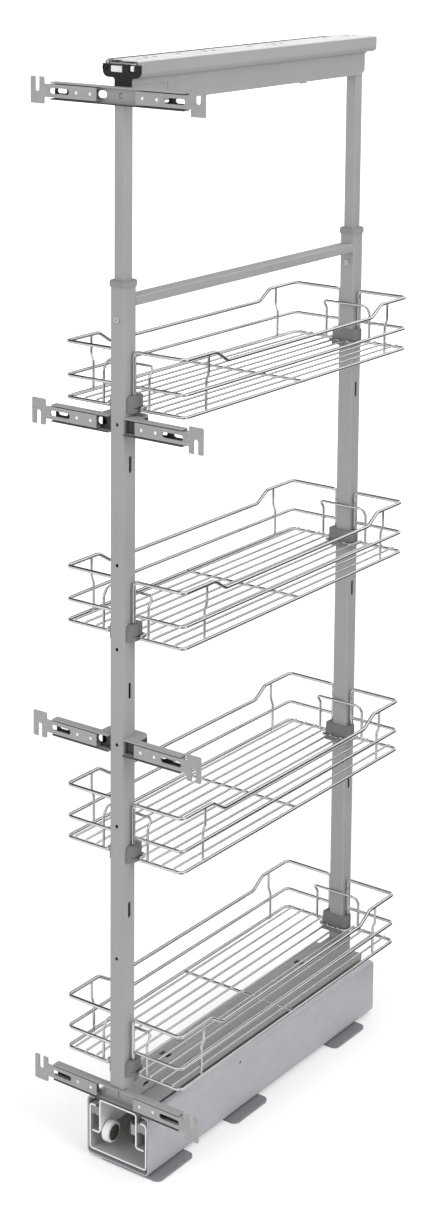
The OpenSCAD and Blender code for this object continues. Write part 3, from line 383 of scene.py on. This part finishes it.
def rounded_block(centre, half, bend, steps=5):
    """Box with round edges: a rounded rectangle in X and Z, its ring of points carried along Y and
    drawn in towards both ends by bend (1 - sin q), q from 0 to 90 degrees."""
    hx, hy, hz = half
    q = np.linspace(0, math.pi / 2, steps)
    turns = np.concatenate([q + k * math.pi / 2 for k in range(4)])
    inset = bend * (1 - np.sin(q))
    along = np.concatenate([-hy + bend * (1 - np.cos(q)), (hy - bend * (1 - np.cos(q)))[::-1]])
    insets = np.concatenate([inset, inset[::-1]])[:, None]
    x = np.sign(np.cos(turns + 1e-9)) * (hx - bend) + np.cos(turns) * bend
    z = np.sign(np.sin(turns + 1e-9)) * (hz - bend) + np.sin(turns) * bend
    shrink_x = x - np.sign(x) * insets
    shrink_z = z - np.sign(z) * insets
    points = np.stack([shrink_x, along[:, None] + 0 * shrink_x, shrink_z], axis=-1).reshape(-1, 3)
    rows, cols = len(along), len(turns)
    points = np.concatenate([points, [[0, -hy, 0], [0, hy, 0]]]) + np.asarray(centre)
    j = np.arange(cols)
    j2, first, last, top = (j + 1) % cols, rows * cols, rows * cols + 1, (rows - 1) * cols
    tris = np.concatenate([
        np.stack([np.full(cols, first), j, j2], axis=1),
        np.stack([np.full(cols, last), top + j2, top + j], axis=1),
    ])
    return surface(points, grid_faces(rows, cols)[:, ::-1], tris)


def make_piece(name, surfaces, material, body, replaces=(), smooth_angle=40):
    """One mesh object from a list of surfaces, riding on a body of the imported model."""
    start, points, quads, tris = 0, [], [], []
    for s in surfaces:
        points.append(s["points"])
        quads.append(s["quads"] + start)
        tris.append(s["tris"] + start)
        start += len(s["points"])
    points, quads, tris = np.concatenate(points), np.concatenate(quads), np.concatenate(tris)
    mesh = bpy.data.meshes.new(name)
    mesh.vertices.add(len(points))
    mesh.vertices.foreach_set("co", points.astype(np.float32).ravel())
    mesh.loops.add(4 * len(quads) + 3 * len(tris))
    mesh.loops.foreach_set("vertex_index", np.concatenate([quads.ravel(), tris.ravel()]).astype(np.int32))
    mesh.polygons.add(len(quads) + len(tris))
    starts = np.concatenate([4 * np.arange(len(quads)), 4 * len(quads) + 3 * np.arange(len(tris))])
    mesh.polygons.foreach_set("loop_start", starts.astype(np.int32))
    mesh.update(calc_edges=True)
    corners = [s[kind].reshape(-1, 2) for kind in ("uv_quads", "uv_tris") for s in surfaces]
    layer = mesh.uv_layers.new(name="along")
    layer.data.foreach_set("uv", np.concatenate(corners).astype(np.float32).ravel())
    mesh.validate()
    mesh.materials.append(material)
    mesh.shade_smooth()
    mesh.set_sharp_from_angle(angle=math.radians(smooth_angle))
    piece = bpy.data.objects.new(name, mesh)
    bpy.context.scene.collection.objects.link(piece)
    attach(piece, body)
    if replaces:
        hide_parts(*replaces)
    return piece


# ------------------------------------------------------------------ finishes


def emptied(owner):
    """Nodes and links of a material or a world, without the nodes it starts with."""
    owner.use_nodes = True
    owner.node_tree.nodes.clear()
    return owner.node_tree.nodes, owner.node_tree.links


class Tree:
    """A material's nodes: one Principled shader, patterns on Object coordinates."""

    def __init__(self, name, roughness=0.5, metallic=0.0, ior=1.5):
        """An empty material with its shader, and its Object coordinates at hand."""
        self.material = bpy.data.materials.new(name)
        self.nodes, self.links = emptied(self.material)
        self.out = self.nodes.new("ShaderNodeOutputMaterial")
        self.shader = self.nodes.new("ShaderNodeBsdfPrincipled")
        self.shader.inputs["Roughness"].default_value = roughness
        self.shader.inputs["Metallic"].default_value = metallic
        self.shader.inputs["IOR"].default_value = ior
        self.links.new(self.shader.outputs["BSDF"], self.out.inputs["Surface"])
        self.places = self.nodes.new("ShaderNodeTexCoord").outputs["Object"]

    def stretched(self, scale):
        """Object coordinates drawn out along an axis."""
        node = self.nodes.new("ShaderNodeMapping")
        node.inputs["Scale"].default_value = scale
        self.links.new(self.places, node.inputs["Vector"])
        return node.outputs["Vector"]

    def noise(self, scale, detail=3.0, roughness=0.5, places=None):
        """Cloudy pattern with so many clouds to the metre."""
        node = self.nodes.new("ShaderNodeTexNoise")
        node.inputs["Scale"].default_value = scale
        node.inputs["Detail"].default_value = detail
        node.inputs["Roughness"].default_value = roughness
        self.links.new(places or self.places, node.inputs["Vector"])
        return node.outputs["Fac"]

    def cells(self, scale):
        """Pattern of crystals, each with a shade of its own."""
        node = self.nodes.new("ShaderNodeTexVoronoi")
        node.inputs["Scale"].default_value = scale
        self.links.new(self.places, node.inputs["Vector"])
        return node.outputs["Color"]

    def sum(self, a, b, part):
        """a with a part of b mixed in."""
        node = self.nodes.new("ShaderNodeMix")
        node.data_type = "FLOAT"
        node.inputs[0].default_value = part
        self.links.new(a, node.inputs[2])
        self.links.new(b, node.inputs[3])
        return node.outputs[0]

    def colour(self, pattern, colour, low, high, start=0.3, end=0.7):
        """Base colour between two shades of one colour, as the pattern goes from start to end."""
        node = self.nodes.new("ShaderNodeValToRGB")
        base = np.array(colour[:3])
        for stop, place, part in zip(node.color_ramp.elements, (start, end), (low, high)):
            stop.position = place
            stop.color = (*np.clip(base * part, 0, 1), 1.0)
        self.links.new(pattern, node.inputs["Fac"])
        self.links.new(node.outputs["Color"], self.shader.inputs["Base Color"])

    def near(self, axis, place, width):
        """1 where the Object coordinate along an axis is within width of a place, and 0 elsewhere."""
        split = self.nodes.new("ShaderNodeSeparateXYZ")
        self.links.new(self.places, split.inputs["Vector"])
        node = self.nodes.new("ShaderNodeMath")
        node.operation = "COMPARE"
        node.inputs[1].default_value = place
        node.inputs[2].default_value = width
        self.links.new(split.outputs[axis], node.inputs[0])
        return node.outputs[0]

    def both(self, a, b):
        """1 where a and b are both 1."""
        node = self.nodes.new("ShaderNodeMath")
        node.operation = "MULTIPLY"
        self.links.new(a, node.inputs[0])
        self.links.new(b, node.inputs[1])
        return node.outputs[0]

    def cover(self, mask, colour):
        """Another colour where the mask is 1, over the base colour so far."""
        node = self.nodes.new("ShaderNodeMix")
        node.data_type = "RGBA"
        before = self.shader.inputs["Base Color"].links[0].from_socket
        self.links.new(mask, node.inputs[0])
        self.links.new(before, node.inputs[6])
        node.inputs[7].default_value = (*colour[:3], 1.0)
        self.links.new(node.outputs[2], self.shader.inputs["Base Color"])

    def gloss(self, pattern, low, high):
        """Roughness between two values."""
        node = self.nodes.new("ShaderNodeMapRange")
        node.inputs["From Min"].default_value = 0.3
        node.inputs["From Max"].default_value = 0.7
        node.inputs["To Min"].default_value = low
        node.inputs["To Max"].default_value = high
        self.links.new(pattern, node.inputs["Value"])
        self.links.new(node.outputs["Result"], self.shader.inputs["Roughness"])

    def relief(self, pattern, depth, strength=0.4):
        """Fine relief of the given depth in metres."""
        node = self.nodes.new("ShaderNodeBump")
        node.inputs["Strength"].default_value = strength
        node.inputs["Distance"].default_value = depth
        self.links.new(pattern, node.inputs["Height"])
        self.links.new(node.outputs["Normal"], self.shader.inputs["Normal"])


def paint_light_and_shade(tree, edges):
    """Paints light and shade: puts each entry's colour over the tree's base colour where all its masks hold.
    """
    for masks, colour in edges:
        mask = tree.near(*masks[0])
        for more in masks[1:]:
            mask = tree.both(mask, tree.near(*more))
        tree.cover(mask, colour)


def coated_steel(name, colour, metallic=0.15, edges=()):
    """Silver coat on steel: fine flakes, faint clouds and a slight orange peel. Edges is a list of
    (masks, colour) of painted light and shade, each mask an (axis, place, width) within which that
    colour is painted over the coat."""
    tree = Tree(name, metallic=metallic)
    flakes = tree.noise(2600, 2.0, 0.7)
    clouds = tree.noise(14, 3.0)
    tree.colour(tree.sum(clouds, flakes, 0.55), colour, 0.94, 1.06)
    tree.gloss(clouds, 0.36, 0.46)
    tree.relief(tree.noise(700, 2.0), 0.00003, 0.25)
    paint_light_and_shade(tree, edges)
    return tree.material


def zinc_sheet(name, colour, metallic=0.3, run=(1.0, 0.12, 1.0), edges=()):
    """Zinc plated sheet: crystals of slightly different grey and rolling lines along its run, with
    edges of painted light and shade as on coated steel."""
    tree = Tree(name, metallic=metallic)
    lines = tree.noise(260, 3.0, 0.6, places=tree.stretched(run))
    pattern = tree.sum(tree.sum(lines, tree.cells(170), 0.25), tree.noise(22, 4.0, 0.6), 0.4)
    tree.colour(pattern, colour, 0.9, 1.08)
    tree.gloss(pattern, 0.34, 0.5)
    tree.relief(lines, 0.00002, 0.3)
    paint_light_and_shade(tree, edges)
    return tree.material


def chrome_wire(name, colour):
    """Chrome on drawn wire: mirror bright, with faint drawing lines and a little haze."""
    tree = Tree(name, metallic=1.0, roughness=0.12)
    haze = tree.noise(120, 3.0, 0.6)
    tree.colour(haze, colour, 0.97, 1.02)
    tree.gloss(haze, 0.09, 0.16)
    tree.relief(tree.noise(900, 2.0), 0.00001, 0.15)
    return tree.material


def moulded(name, colour, low=0.42, high=0.56, depth=0.00004):
    """Moulded plastic: a fine spark-eroded grain and slightly uneven gloss."""
    tree = Tree(name, roughness=0.5)
    clouds = tree.noise(40, 3.0)
    grain = tree.noise(1900, 2.0, 0.6)
    tree.colour(tree.sum(clouds, grain, 0.5), colour, 0.9, 1.1)
    tree.gloss(clouds, low, high)
    tree.relief(grain, depth, 0.3)
    return tree.material


def woven(name, colour):
    """Dark moulded mesh: fine cells, each of a shade of its own, standing in relief."""
    tree = Tree(name, roughness=0.5)
    cells = tree.cells(1100)
    tree.colour(cells, colour, 0.45, 1.9)
    tree.gloss(cells, 0.4, 0.6)
    tree.relief(cells, 0.0002, 0.5)
    return tree.material


def dress(material, slot, *names):
    """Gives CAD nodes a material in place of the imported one."""
    for name in names:
        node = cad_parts[name]
        node.data.materials.clear()
        node.data.materials.append(material)


# ------------------------------------------------------------------ baskets


def basket_surfaces(w, floor, side, end, post_in):
    """All wires of one basket: w is the sizes, floor the height of its floor wire, side and end the
    middle lines of its side and end wires, and post_in the post's inner face."""
    made = []
    corner, knee = w.corner_bend, w.knee_bend
    notch = post_in - w.notch_in
    lift = (w.frame_wire + w.floor_wire) / 2 - w.sink

    def at(x, y, z):
        """Place at height z above the floor wire."""
        return [x, y, floor + z]

    half = [(side, -end, corner), (side, end, corner), (w.notch_half, end, knee),
            (w.notch_half, notch, knee), (-w.notch_half, notch, knee), (-w.notch_half, end, knee)]
    ring = half + [(-x, -y, r) for x, y, r in half]
    made.append(wire(bent_line([at(x, y, 0) for x, y, _ in ring], [r for _, _, r in ring], closed=True),
                     w.frame_wire, closed=True))
    high, low = w.rail_height, w.rail_height - w.dip
    start, foot = end - w.dip_start, end - w.dip_start - w.dip_run
    for s in (-1, 1):
        dipped = ((-start, high), (-foot, low), (foot, low), (start, high))
        tail = s * w.tail_half
        path = [at(tail, -end, w.tail_foot), at(tail, -end, high), at(s * side, -end, high)]
        path += [at(s * side, y, z) for y, z in dipped]
        path += [at(s * side, end, high), at(tail, end, high), at(tail, end, w.tail_foot)]
        bends = [0, knee, corner] + [w.dip_bend] * len(dipped) + [corner, knee, 0]
        made.append(wire(bent_line(path, bends), w.rail_wire))
        stop = s * (w.tail_half + 1 * MM)
        middle = [at(stop, -end, w.middle_height), at(s * side, -end, w.middle_height),
                  at(s * side, end, w.middle_height), at(stop, end, w.middle_height)]
        made.append(wire(bent_line(middle, [0, corner, corner, 0]), w.frame_wire))
        inner = side - (w.frame_wire + w.upright_wire) / 2 + w.sink
        top = high - w.jog_drop
        for y in (-(end - w.upright_in), end - w.upright_in):
            path = [at(s * side, y, high), at(s * side, y, top), at(s * inner, y, top - w.jog_run),
                    at(s * inner, y, 0)]
            made.append(wire(bent_line(path, [0, knee, knee, 0]), w.upright_wire, sides=12))
            for z in (0, w.middle_height):
                made.append(weld(at(s * (inner + w.upright_wire / 2), y, z), SIDE_WELD))
    leg = end - (w.frame_wire + w.upright_wire) / 2 + w.sink
    bridge = post_in - w.upright_wire / 2 - w.guard_gap
    for s in (-1, 1):
        knee_up = w.guard_height - w.guard_knee
        path = [at(-w.guard_half, s * leg, 0), at(-w.guard_half, s * leg, knee_up),
                at(-w.guard_half, s * bridge, w.guard_height), at(w.guard_half, s * bridge, w.guard_height),
                at(w.guard_half, s * leg, knee_up), at(w.guard_half, s * leg, 0)]
        made.append(wire(bent_line(path, [0, knee, knee, knee, knee, 0]), w.upright_wire, sides=12))
        for x in (-w.guard_half, w.guard_half):
            for z in (0, w.middle_height):
                made.append(weld(at(x, s * (leg + w.upright_wire / 2), z), END_WELD))
    count = int(2 * side / w.wire_gap)
    for x in (np.arange(count) - (count - 1) / 2) * w.wire_gap:
        reach = notch if abs(x) < w.notch_half else end
        line = bent_line([at(x, -reach, lift), at(x, reach, lift)], [0, 0])
        made.append(wire(line, w.floor_wire, sides=12))
        for y in (-reach, 0, reach):
            made.append(weld(at(x, y * 0.998, lift / 2 + 0.3 * MM), FLOOR_WELD))
    cross = bent_line([at(-side, 0, 0), at(side, 0, 0)], [0, 0])
    made.append(wire(cross, w.frame_wire - 0.4 * MM))
    return made


class LARDER_OT_baskets(bpy.types.Operator):
    """Chrome wire baskets in place of the four CAD baskets"""

    bl_idname = "larder.baskets"
    bl_label = "Wire Baskets"

    def execute(self, context):
        w = context.scene.larder_wires
        chrome = chrome_wire("basket_chrome", context.scene.larder_finishes.chrome)
        swell = w.rail_wire / 2 + 0.04 * MM
        for i in range(1, 5):
            node = "basket_%d" % i
            low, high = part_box(node)
            floor = high.z - swell - w.rail_height
            made = basket_surfaces(w, floor, high.x - swell, high.y - swell, span("rear_post", 1)[0])
            make_piece("basket_wires_%d" % i, made, chrome, node, (node,))
        return {"FINISHED"}


# ------------------------------------------------------------------ frame and slides


class LARDER_OT_base_slide(bpy.types.Operator):
    """Finishes of the base slide: housing, feet, profiles, guides and roller, with painted light on the
    profiles' cut ends and inside the carriage hat
    """

    bl_idname = "larder.base_slide"
    bl_label = "Base Slide"

    def execute(self, context):
        f = context.scene.larder_finishes
        dress(zinc_sheet("housing_zinc", f.housing_silver, 0.1), "housing_steel", "base_housing")
        # The profiles' cut front ends are painted near white as a painted highlight.
        front = [("Y", span("intermediate_profile", 1)[0], 0.3 * MM)]
        cut = [(front, f.cut_edge_highlight)]
        dress(zinc_sheet("profile_zinc_painted_highlight", f.slide_zinc, 0.4, edges=cut), "slide_steel",
              "intermediate_profile")
        # The carriage hat's inner faces, bare zinc that sits in shade, are painted rail white as painted
        # light; its cut front end takes the painted highlight.
        top = span("carriage_profile", 2)[1] - SHEET
        inside = [("X", 0.0, HAT_HALF - SHEET + 0.2 * MM), ("Z", 0.0, top + 0.2 * MM)]
        cut = [(inside, f.rail_white)] + cut
        dress(coated_steel("carriage_silver_painted_light", f.post_silver, edges=cut), "slide_steel", "carriage_profile")
        dress(coated_steel("plate_silver", f.post_silver), "slide_steel", "carriage_plate")
        dress(coated_steel("foot_coat", f.foot_grey), "foot_steel", "mounting_feet")
        dress(moulded("guide_plastic", f.guide_grey), "light_plastic", "guide_blocks", "ball_strips")
        dress(moulded("roller_nylon", f.nylon, 0.3, 0.42), "white_plastic", "front_roller")
        dress(moulded("hub_plastic", f.cap_black), "dark_steel", "roller_hub", "adjuster_bolt")
        dress(zinc_sheet("barrel_zinc", f.zinc), "screw_zinc", "adjuster_barrel")
        low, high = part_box("front_roller")
        rim = HUB_SHARE * (high.z - low.z)
        profile = [(-0.4 * MM, 0), (-0.4 * MM, rim), (0.2 * MM, rim), (0.35 * MM, rim - 0.3 * MM),
                   (0.35 * MM, 0)]
        place = span("roller_hub", 0)[1], (low.y + high.y) / 2, (low.z + high.z) / 2
        face = turned(profile, place, (1, 0, 0), 48)
        make_piece("roller_face", [face], woven("hub_mesh", f.mesh_dark), "roller")
        return {"FINISHED"}


class LARDER_OT_posts(bpy.types.Operator):
    """Finishes of the beam, posts, collars, cross bar and their screws, with painted shade inside the tubes
    """

    bl_idname = "larder.posts"
    bl_label = "Posts"

    def execute(self, context):
        f = context.scene.larder_finishes
        dress(coated_steel("post_silver", f.post_silver), "silver_lacquer", "base_beam", "cross_bar")
        for name in ("front_post", "rear_post", "front_upper_tube", "rear_upper_tube"):
            low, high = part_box(name)
            middle = (low + high) / 2
            # The tubes' inner faces are painted near black as painted shade.
            inside = [("X", middle.x, high.x - middle.x - WALL + 0.1 * MM),
                      ("Y", middle.y, high.y - middle.y - WALL + 0.1 * MM)]
            silver = coated_steel(name + "_silver", f.post_silver, edges=[(inside, f.tube_inside_shade)])
            dress(silver, "silver_lacquer", name)
        dress(moulded("collar_plastic", f.collar_grey), "collar_grey", "collars")
        dress(zinc_sheet("screw_zinc", f.slide_zinc, 0.8), "screw_zinc", "clamp_screws", "beam_screws",
              "bracket_clamps")
        return {"FINISHED"}


class LARDER_OT_top_slide(bpy.types.Operator):
    """Finishes of the top housing, its black end cap, the slide members and the cabinet rail, with a line of
    painted shade along the rail's far top edge
    """

    bl_idname = "larder.top_slide"
    bl_label = "Top Slide"

    def execute(self, context):
        f = context.scene.larder_finishes
        dress(coated_steel("head_silver", f.post_silver), "head_lacquer", "top_housing")
        dress(moulded("cap_plastic", f.cap_black), "black_plastic", "top_end_cap")
        dress(zinc_sheet("member_zinc", f.slide_zinc, 0.7), "slide_steel", "top_inner_member",
              "top_intermediate", "top_ball_cages")
        low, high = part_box("top_rail")
        # A dark line of painted shade along the rail's far top edge.
        shade_line = [("X", low.x, SHADE_LINE_WIDTH), ("Z", high.z, SHADE_LINE_DEPTH),
                ("Y", low.y, (high.y - low.y) - SHADE_LINE_STOP)]
        pale = zinc_sheet("rail_zinc_painted_shade", f.rail_white, 0.1, edges=[(shade_line, f.shade_and_mark_grey)])
        dress(pale, "white_zinc", "top_rail")
        white = moulded("stop_plastic", f.stud_white, 0.3, 0.4)
        front = span("top_housing", 1)[0]
        floor = high.z - SLIDE_DEPTH
        blocks = [rounded_block((x, front + 0.3 * MM, floor + z), half, 1 * MM) for x, z, half in STOPS]
        make_piece("slide_stops", blocks, white, "upper_frame")
        x, back, up = KNOB_PLACE
        place = (x, span("top_end_cap", 1)[0] + back, floor + up)
        glossy = moulded("knob_plastic", f.cap_black, 0.2, 0.3)
        make_piece("cap_knob", [turned(KNOB, place, (0, -1, 0), 28)], glossy, "upper_frame")
        groups = [front + away for away in HOLE_GROUPS] + [high.y - LAST_GROUP]
        marks = [weld((x, y + away, high.z - 0.2 * MM), (wide, long, 0.26 * MM), 16)
                 for y in groups for away, x, wide, long in MARKS]
        make_piece("rail_marks", marks, zinc_sheet("mark_zinc", f.shade_and_mark_grey, 0.1), "top_rail")
        return {"FINISHED"}


class LARDER_OT_brackets(bpy.types.Operator):
    """Finishes of the four door brackets and their arms, with painted shade in the channels"""

    bl_idname = "larder.brackets"
    bl_label = "Door Brackets"

    def execute(self, context):
        f = context.scene.larder_finishes
        run = (0.12, 1.0, 1.0)
        arms = ["arm_%d_%s" % (i, s) for i in range(1, 5) for s in ("left", "right")]
        dress(zinc_sheet("arm_zinc", f.zinc, 0.2, run), "bracket_zinc", *arms)
        white = moulded("stud_plastic", f.stud_white, 0.3, 0.4)
        for i in range(1, 5):
            name = "bracket_channel_%d" % i
            low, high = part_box(name)
            # Painted shade: the lower lip's front edge, the web behind each arm and, on the channels round
            # the post, the middle between the arms.
            lower = [("Z", low.z, LIP), ("Y", low.y, SHADE_MASK)]
            between = ("Z", (low.z + high.z) / 2, (high.z - low.z) / 2 - LIP)
            web = ("Y", low.y + WEB_DEPTH, SHADE_MASK)
            middle, half = ARM_WEB_SHADE
            shaded = [lower] + [[between, web, ("X", side * middle, half)] for side in (-1, 1)]
            if name in WRAPPED:
                shaded.append([between, ("X", 0.0, MIDDLE_WEB_SHADE)])
            dark = [(masks, f.shade_and_mark_grey) for masks in shaded]
            dress(zinc_sheet("channel_zinc_%d" % i, f.zinc, 0.2, run, dark), "bracket_zinc", name)
        for name in arms:
            side = 1 if name.endswith("right") else -1
            face = span(name, 1)[0] + STUD_DEPTH
            middle = sum(span("bracket_channel_%s" % name[4], 2)) / 2
            studs = [turned(STUD, (side * x, face, middle), (0, -1, 0), 20) for x in STUD_PLACES]
            make_piece("studs_" + name, studs, white, name)
        return {"FINISHED"}


class LARDER_OT_clips(bpy.types.Operator):
    """Finish of the plastic clips that carry the baskets"""

    bl_idname = "larder.clips"
    bl_label = "Basket Clips"

    def execute(self, context):
        dress(moulded("clip_plastic", context.scene.larder_finishes.clip_grey), "grey_plastic",
              "front_clips", "rear_clips")
        return {"FINISHED"}


# ------------------------------------------------------------------ stage


def studio_floor(size, z, material):
    """Flat square floor, (x, y, z) over a grid of x and y."""
    x, y = np.meshgrid(np.linspace(-size, size, 9), np.linspace(-size, size, 9))
    points = np.stack([x.ravel(), y.ravel(), np.full(x.size, z)], axis=1)
    mesh = bpy.data.meshes.new("studio_floor")
    mesh.from_pydata(points.tolist(), [], grid_faces(9, 9, wrap_cols=False).tolist())
    mesh.materials.append(material)
    floor = bpy.data.objects.new("studio_floor", mesh)
    bpy.context.scene.collection.objects.link(floor)
    floor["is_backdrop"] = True


def floor_material(tone, lift):
    """Pale matt floor. As the camera and glass see it, white is added: a little near the object, which
    leaves its shadow, and more and more from 1 m out to 4 m, where it is plain white."""
    material = bpy.data.materials.new("studio_floor")
    nodes, links = emptied(material)
    out = nodes.new("ShaderNodeOutputMaterial")
    matt = nodes.new("ShaderNodeBsdfDiffuse")
    matt.inputs["Color"].default_value = (tone, tone, tone, 1)
    glow = nodes.new("ShaderNodeEmission")
    path = nodes.new("ShaderNodeLightPath")
    either = nodes.new("ShaderNodeMath")
    either.operation = "MAXIMUM"
    links.new(path.outputs["Is Camera Ray"], either.inputs[0])
    links.new(path.outputs["Is Transmission Ray"], either.inputs[1])
    places = nodes.new("ShaderNodeTexCoord")
    away = nodes.new("ShaderNodeVectorMath")
    away.operation = "LENGTH"
    links.new(places.outputs["Object"], away.inputs[0])
    rise = nodes.new("ShaderNodeMapRange")
    for socket, value in zip(("From Min", "From Max", "To Min", "To Max"), (1.0, 4.0, lift, 1.0)):
        rise.inputs[socket].default_value = value
    links.new(away.outputs["Value"], rise.inputs["Value"])
    amount = nodes.new("ShaderNodeMath")
    amount.operation = "MULTIPLY"
    links.new(rise.outputs["Result"], amount.inputs[1])
    links.new(either.outputs[0], amount.inputs[0])
    links.new(amount.outputs[0], glow.inputs["Strength"])
    both = nodes.new("ShaderNodeAddShader")
    links.new(matt.outputs[0], both.inputs[0])
    links.new(glow.outputs[0], both.inputs[1])
    links.new(both.outputs[0], out.inputs["Surface"])
    return material


def studio_sky(strength):
    """Even pale light from all round, and plain white to the camera and in reflections."""
    world = bpy.data.worlds.new("studio")
    bpy.context.scene.world = world
    nodes, links = emptied(world)
    out = nodes.new("ShaderNodeOutputWorld")
    even, plain = nodes.new("ShaderNodeBackground"), nodes.new("ShaderNodeBackground")
    even.inputs["Color"].default_value = (1, 1, 1, 1)
    even.inputs["Strength"].default_value = strength
    plain.inputs["Color"].default_value = (1, 1, 1, 1)
    path, mix = nodes.new("ShaderNodeLightPath"), nodes.new("ShaderNodeMixShader")
    first, second = nodes.new("ShaderNodeMath"), nodes.new("ShaderNodeMath")
    first.operation = second.operation = "MAXIMUM"
    links.new(path.outputs["Is Camera Ray"], first.inputs[0])
    links.new(path.outputs["Is Transmission Ray"], first.inputs[1])
    links.new(first.outputs[0], second.inputs[0])
    links.new(path.outputs["Is Glossy Ray"], second.inputs[1])
    links.new(second.outputs[0], mix.inputs["Fac"])
    links.new(even.outputs[0], mix.inputs[1])
    links.new(plain.outputs[0], mix.inputs[2])
    links.new(mix.outputs[0], out.inputs["Surface"])


def flag(name, points, quads, tone):
    """Dark card that only reflections see. Bright metal needs something dark to reflect."""
    material = bpy.data.materials.new(name)
    nodes, links = emptied(material)
    glow, out = nodes.new("ShaderNodeEmission"), nodes.new("ShaderNodeOutputMaterial")
    glow.inputs["Color"].default_value = (tone, tone, tone, 1)
    links.new(glow.outputs[0], out.inputs["Surface"])
    mesh = bpy.data.meshes.new(name)
    mesh.from_pydata(points.tolist(), [], quads.tolist())
    mesh.materials.append(material)
    card = bpy.data.objects.new(name, mesh)
    card.visible_camera = card.visible_diffuse = card.visible_shadow = card.visible_transmission = False
    bpy.context.scene.collection.objects.link(card)
    card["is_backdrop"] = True


def wall_flag(name, radius, start, end, low, high, tone):
    """Curved flag, (radius cos a, radius sin a, z) for a from start to end in degrees."""
    a, z = np.meshgrid(np.radians(np.linspace(start, end, 13)), [low, high])
    points = np.stack([radius * np.cos(a), radius * np.sin(a), z], axis=-1).reshape(-1, 3)
    flag(name, points, grid_faces(2, 13, wrap_cols=False), tone)


def ground_flag(name, near, far, start, end, tone):
    """Flag lying just over the floor, (r cos a, r sin a, 1 mm) for r from near to far."""
    a, r = np.meshgrid(np.radians(np.linspace(start, end, 13)), [near, far])
    z = np.full(a.shape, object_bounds()[0].z + 1 * MM)
    points = np.stack([r * np.cos(a), r * np.sin(a), z], axis=-1).reshape(-1, 3)
    flag(name, points, grid_faces(2, 13, wrap_cols=False), tone)


def ceiling_flag(name, x0, x1, y0, y1, z, tone):
    """Flat flag overhead."""
    x, y = np.meshgrid([x0, x1], [y0, y1])
    points = np.stack([x.ravel(), y.ravel(), np.full(4, z)], axis=1)
    flag(name, points, grid_faces(2, 2, wrap_cols=False), tone)


def soft_box(name, place, target, width, height, watts):
    """Area light at place that faces target. Bright metal doesn't mirror it."""
    light = bpy.data.lights.new(name, "AREA")
    light.shape = "RECTANGLE"
    light.size, light.size_y = width, height
    light.energy = watts
    lamp = bpy.data.objects.new(name, light)
    lamp.visible_glossy = False
    lamp.location = place
    lamp.rotation_euler = (Vector(target) - Vector(place)).to_track_quat("-Z", "Y").to_euler()
    bpy.context.scene.collection.objects.link(lamp)


def studio_camera(focal, shift):
    """Camera at the photograph's place: its height, turn and tilt come from fitting the frame's
    corners, and the lens shift keeps the posts upright."""
    camera = bpy.data.cameras.new("camera")
    camera.lens = focal / MM
    camera.sensor_width = 36
    camera.sensor_fit = "AUTO"
    camera.shift_y = shift
    camera.clip_start, camera.clip_end = 0.05, 100
    az, el, roll = (math.radians(degrees) for degrees in CAMERA_TURN)
    back = np.array([math.sin(az) * math.cos(el), -math.cos(az) * math.cos(el), math.sin(el)])
    right = np.array([math.cos(az), math.sin(az), 0.0])
    up = np.cross(back, right)
    across = math.cos(roll) * right + math.sin(roll) * up
    over = -math.sin(roll) * right + math.cos(roll) * up
    rows = [[across[k], over[k], back[k], CAMERA_PLACE[k]] for k in range(3)]
    holder = bpy.data.objects.new("camera", camera)
    holder.matrix_world = Matrix(rows + [[0, 0, 0, 1]])
    bpy.context.scene.collection.objects.link(holder)
    bpy.context.scene.camera = holder


class LARDER_OT_stage(bpy.types.Operator):
    """Pale floor, soft light and camera"""

    bl_idname = "larder.stage"
    bl_label = "Studio"

    def execute(self, context):
        s = context.scene.larder_stage
        context.scene.view_settings.view_transform = "Standard"
        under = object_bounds()[0].z - FLOOR_DROP
        studio_floor(FLOOR_HALF, under, floor_material(s.floor_tone, s.floor_lift))
        studio_sky(s.sky)
        for name, place, *size_and_power in LAMPS:
            soft_box(name, place, LAMP_TARGET, *size_and_power)
        for row in WALL_FLAGS:
            wall_flag(*row, s.flag_tone)
        for row in GROUND_FLAGS:
            ground_flag(*row, s.flag_tone)
        ground_flag(*REAR_GROUND_FLAG, s.ground_tone)
        ceiling_flag(*CEILING_FLAG, s.flag_tone)
        studio_camera(s.focal, s.shift)
        return {"FINISHED"}


# ------------------------------------------------------------------ panel and start

STEPS = (
    LARDER_OT_base_slide,
    LARDER_OT_posts,
    LARDER_OT_top_slide,
    LARDER_OT_brackets,
    LARDER_OT_clips,
    LARDER_OT_baskets,
    LARDER_OT_stage,
)


class LARDER_PT_panel(bpy.types.Panel):
    """Steps that dress the larder unit, in their order"""

    bl_label = "Pull Out Larder"
    bl_space_type = "VIEW_3D"
    bl_region_type = "UI"
    bl_category = "Larder"

    def draw(self, context):
        for step in STEPS:
            self.layout.operator(step.bl_idname)


GROUPS = (LarderWireSizes, LarderFinishes, LarderStage)


def register():
    """Registers the classes and gives the scene its settings."""
    for cls in (*GROUPS, *STEPS, LARDER_PT_panel):
        bpy.utils.register_class(cls)
    bpy.types.Scene.larder_wires = bpy.props.PointerProperty(type=LarderWireSizes)
    bpy.types.Scene.larder_finishes = bpy.props.PointerProperty(type=LarderFinishes)
    bpy.types.Scene.larder_stage = bpy.props.PointerProperty(type=LarderStage)


def unregister():
    """Takes back what register() did."""
    del bpy.types.Scene.larder_wires
    del bpy.types.Scene.larder_finishes
    del bpy.types.Scene.larder_stage
    for cls in (LARDER_PT_panel, *reversed(STEPS), *reversed(GROUPS)):
        bpy.utils.unregister_class(cls)


def main():
    register()
    bpy.ops.larder.base_slide()
    bpy.ops.larder.posts()
    bpy.ops.larder.top_slide()
    bpy.ops.larder.brackets()
    bpy.ops.larder.clips()
    bpy.ops.larder.baskets()
    bpy.ops.larder.stage()


if __name__ == "__main__":
    main()
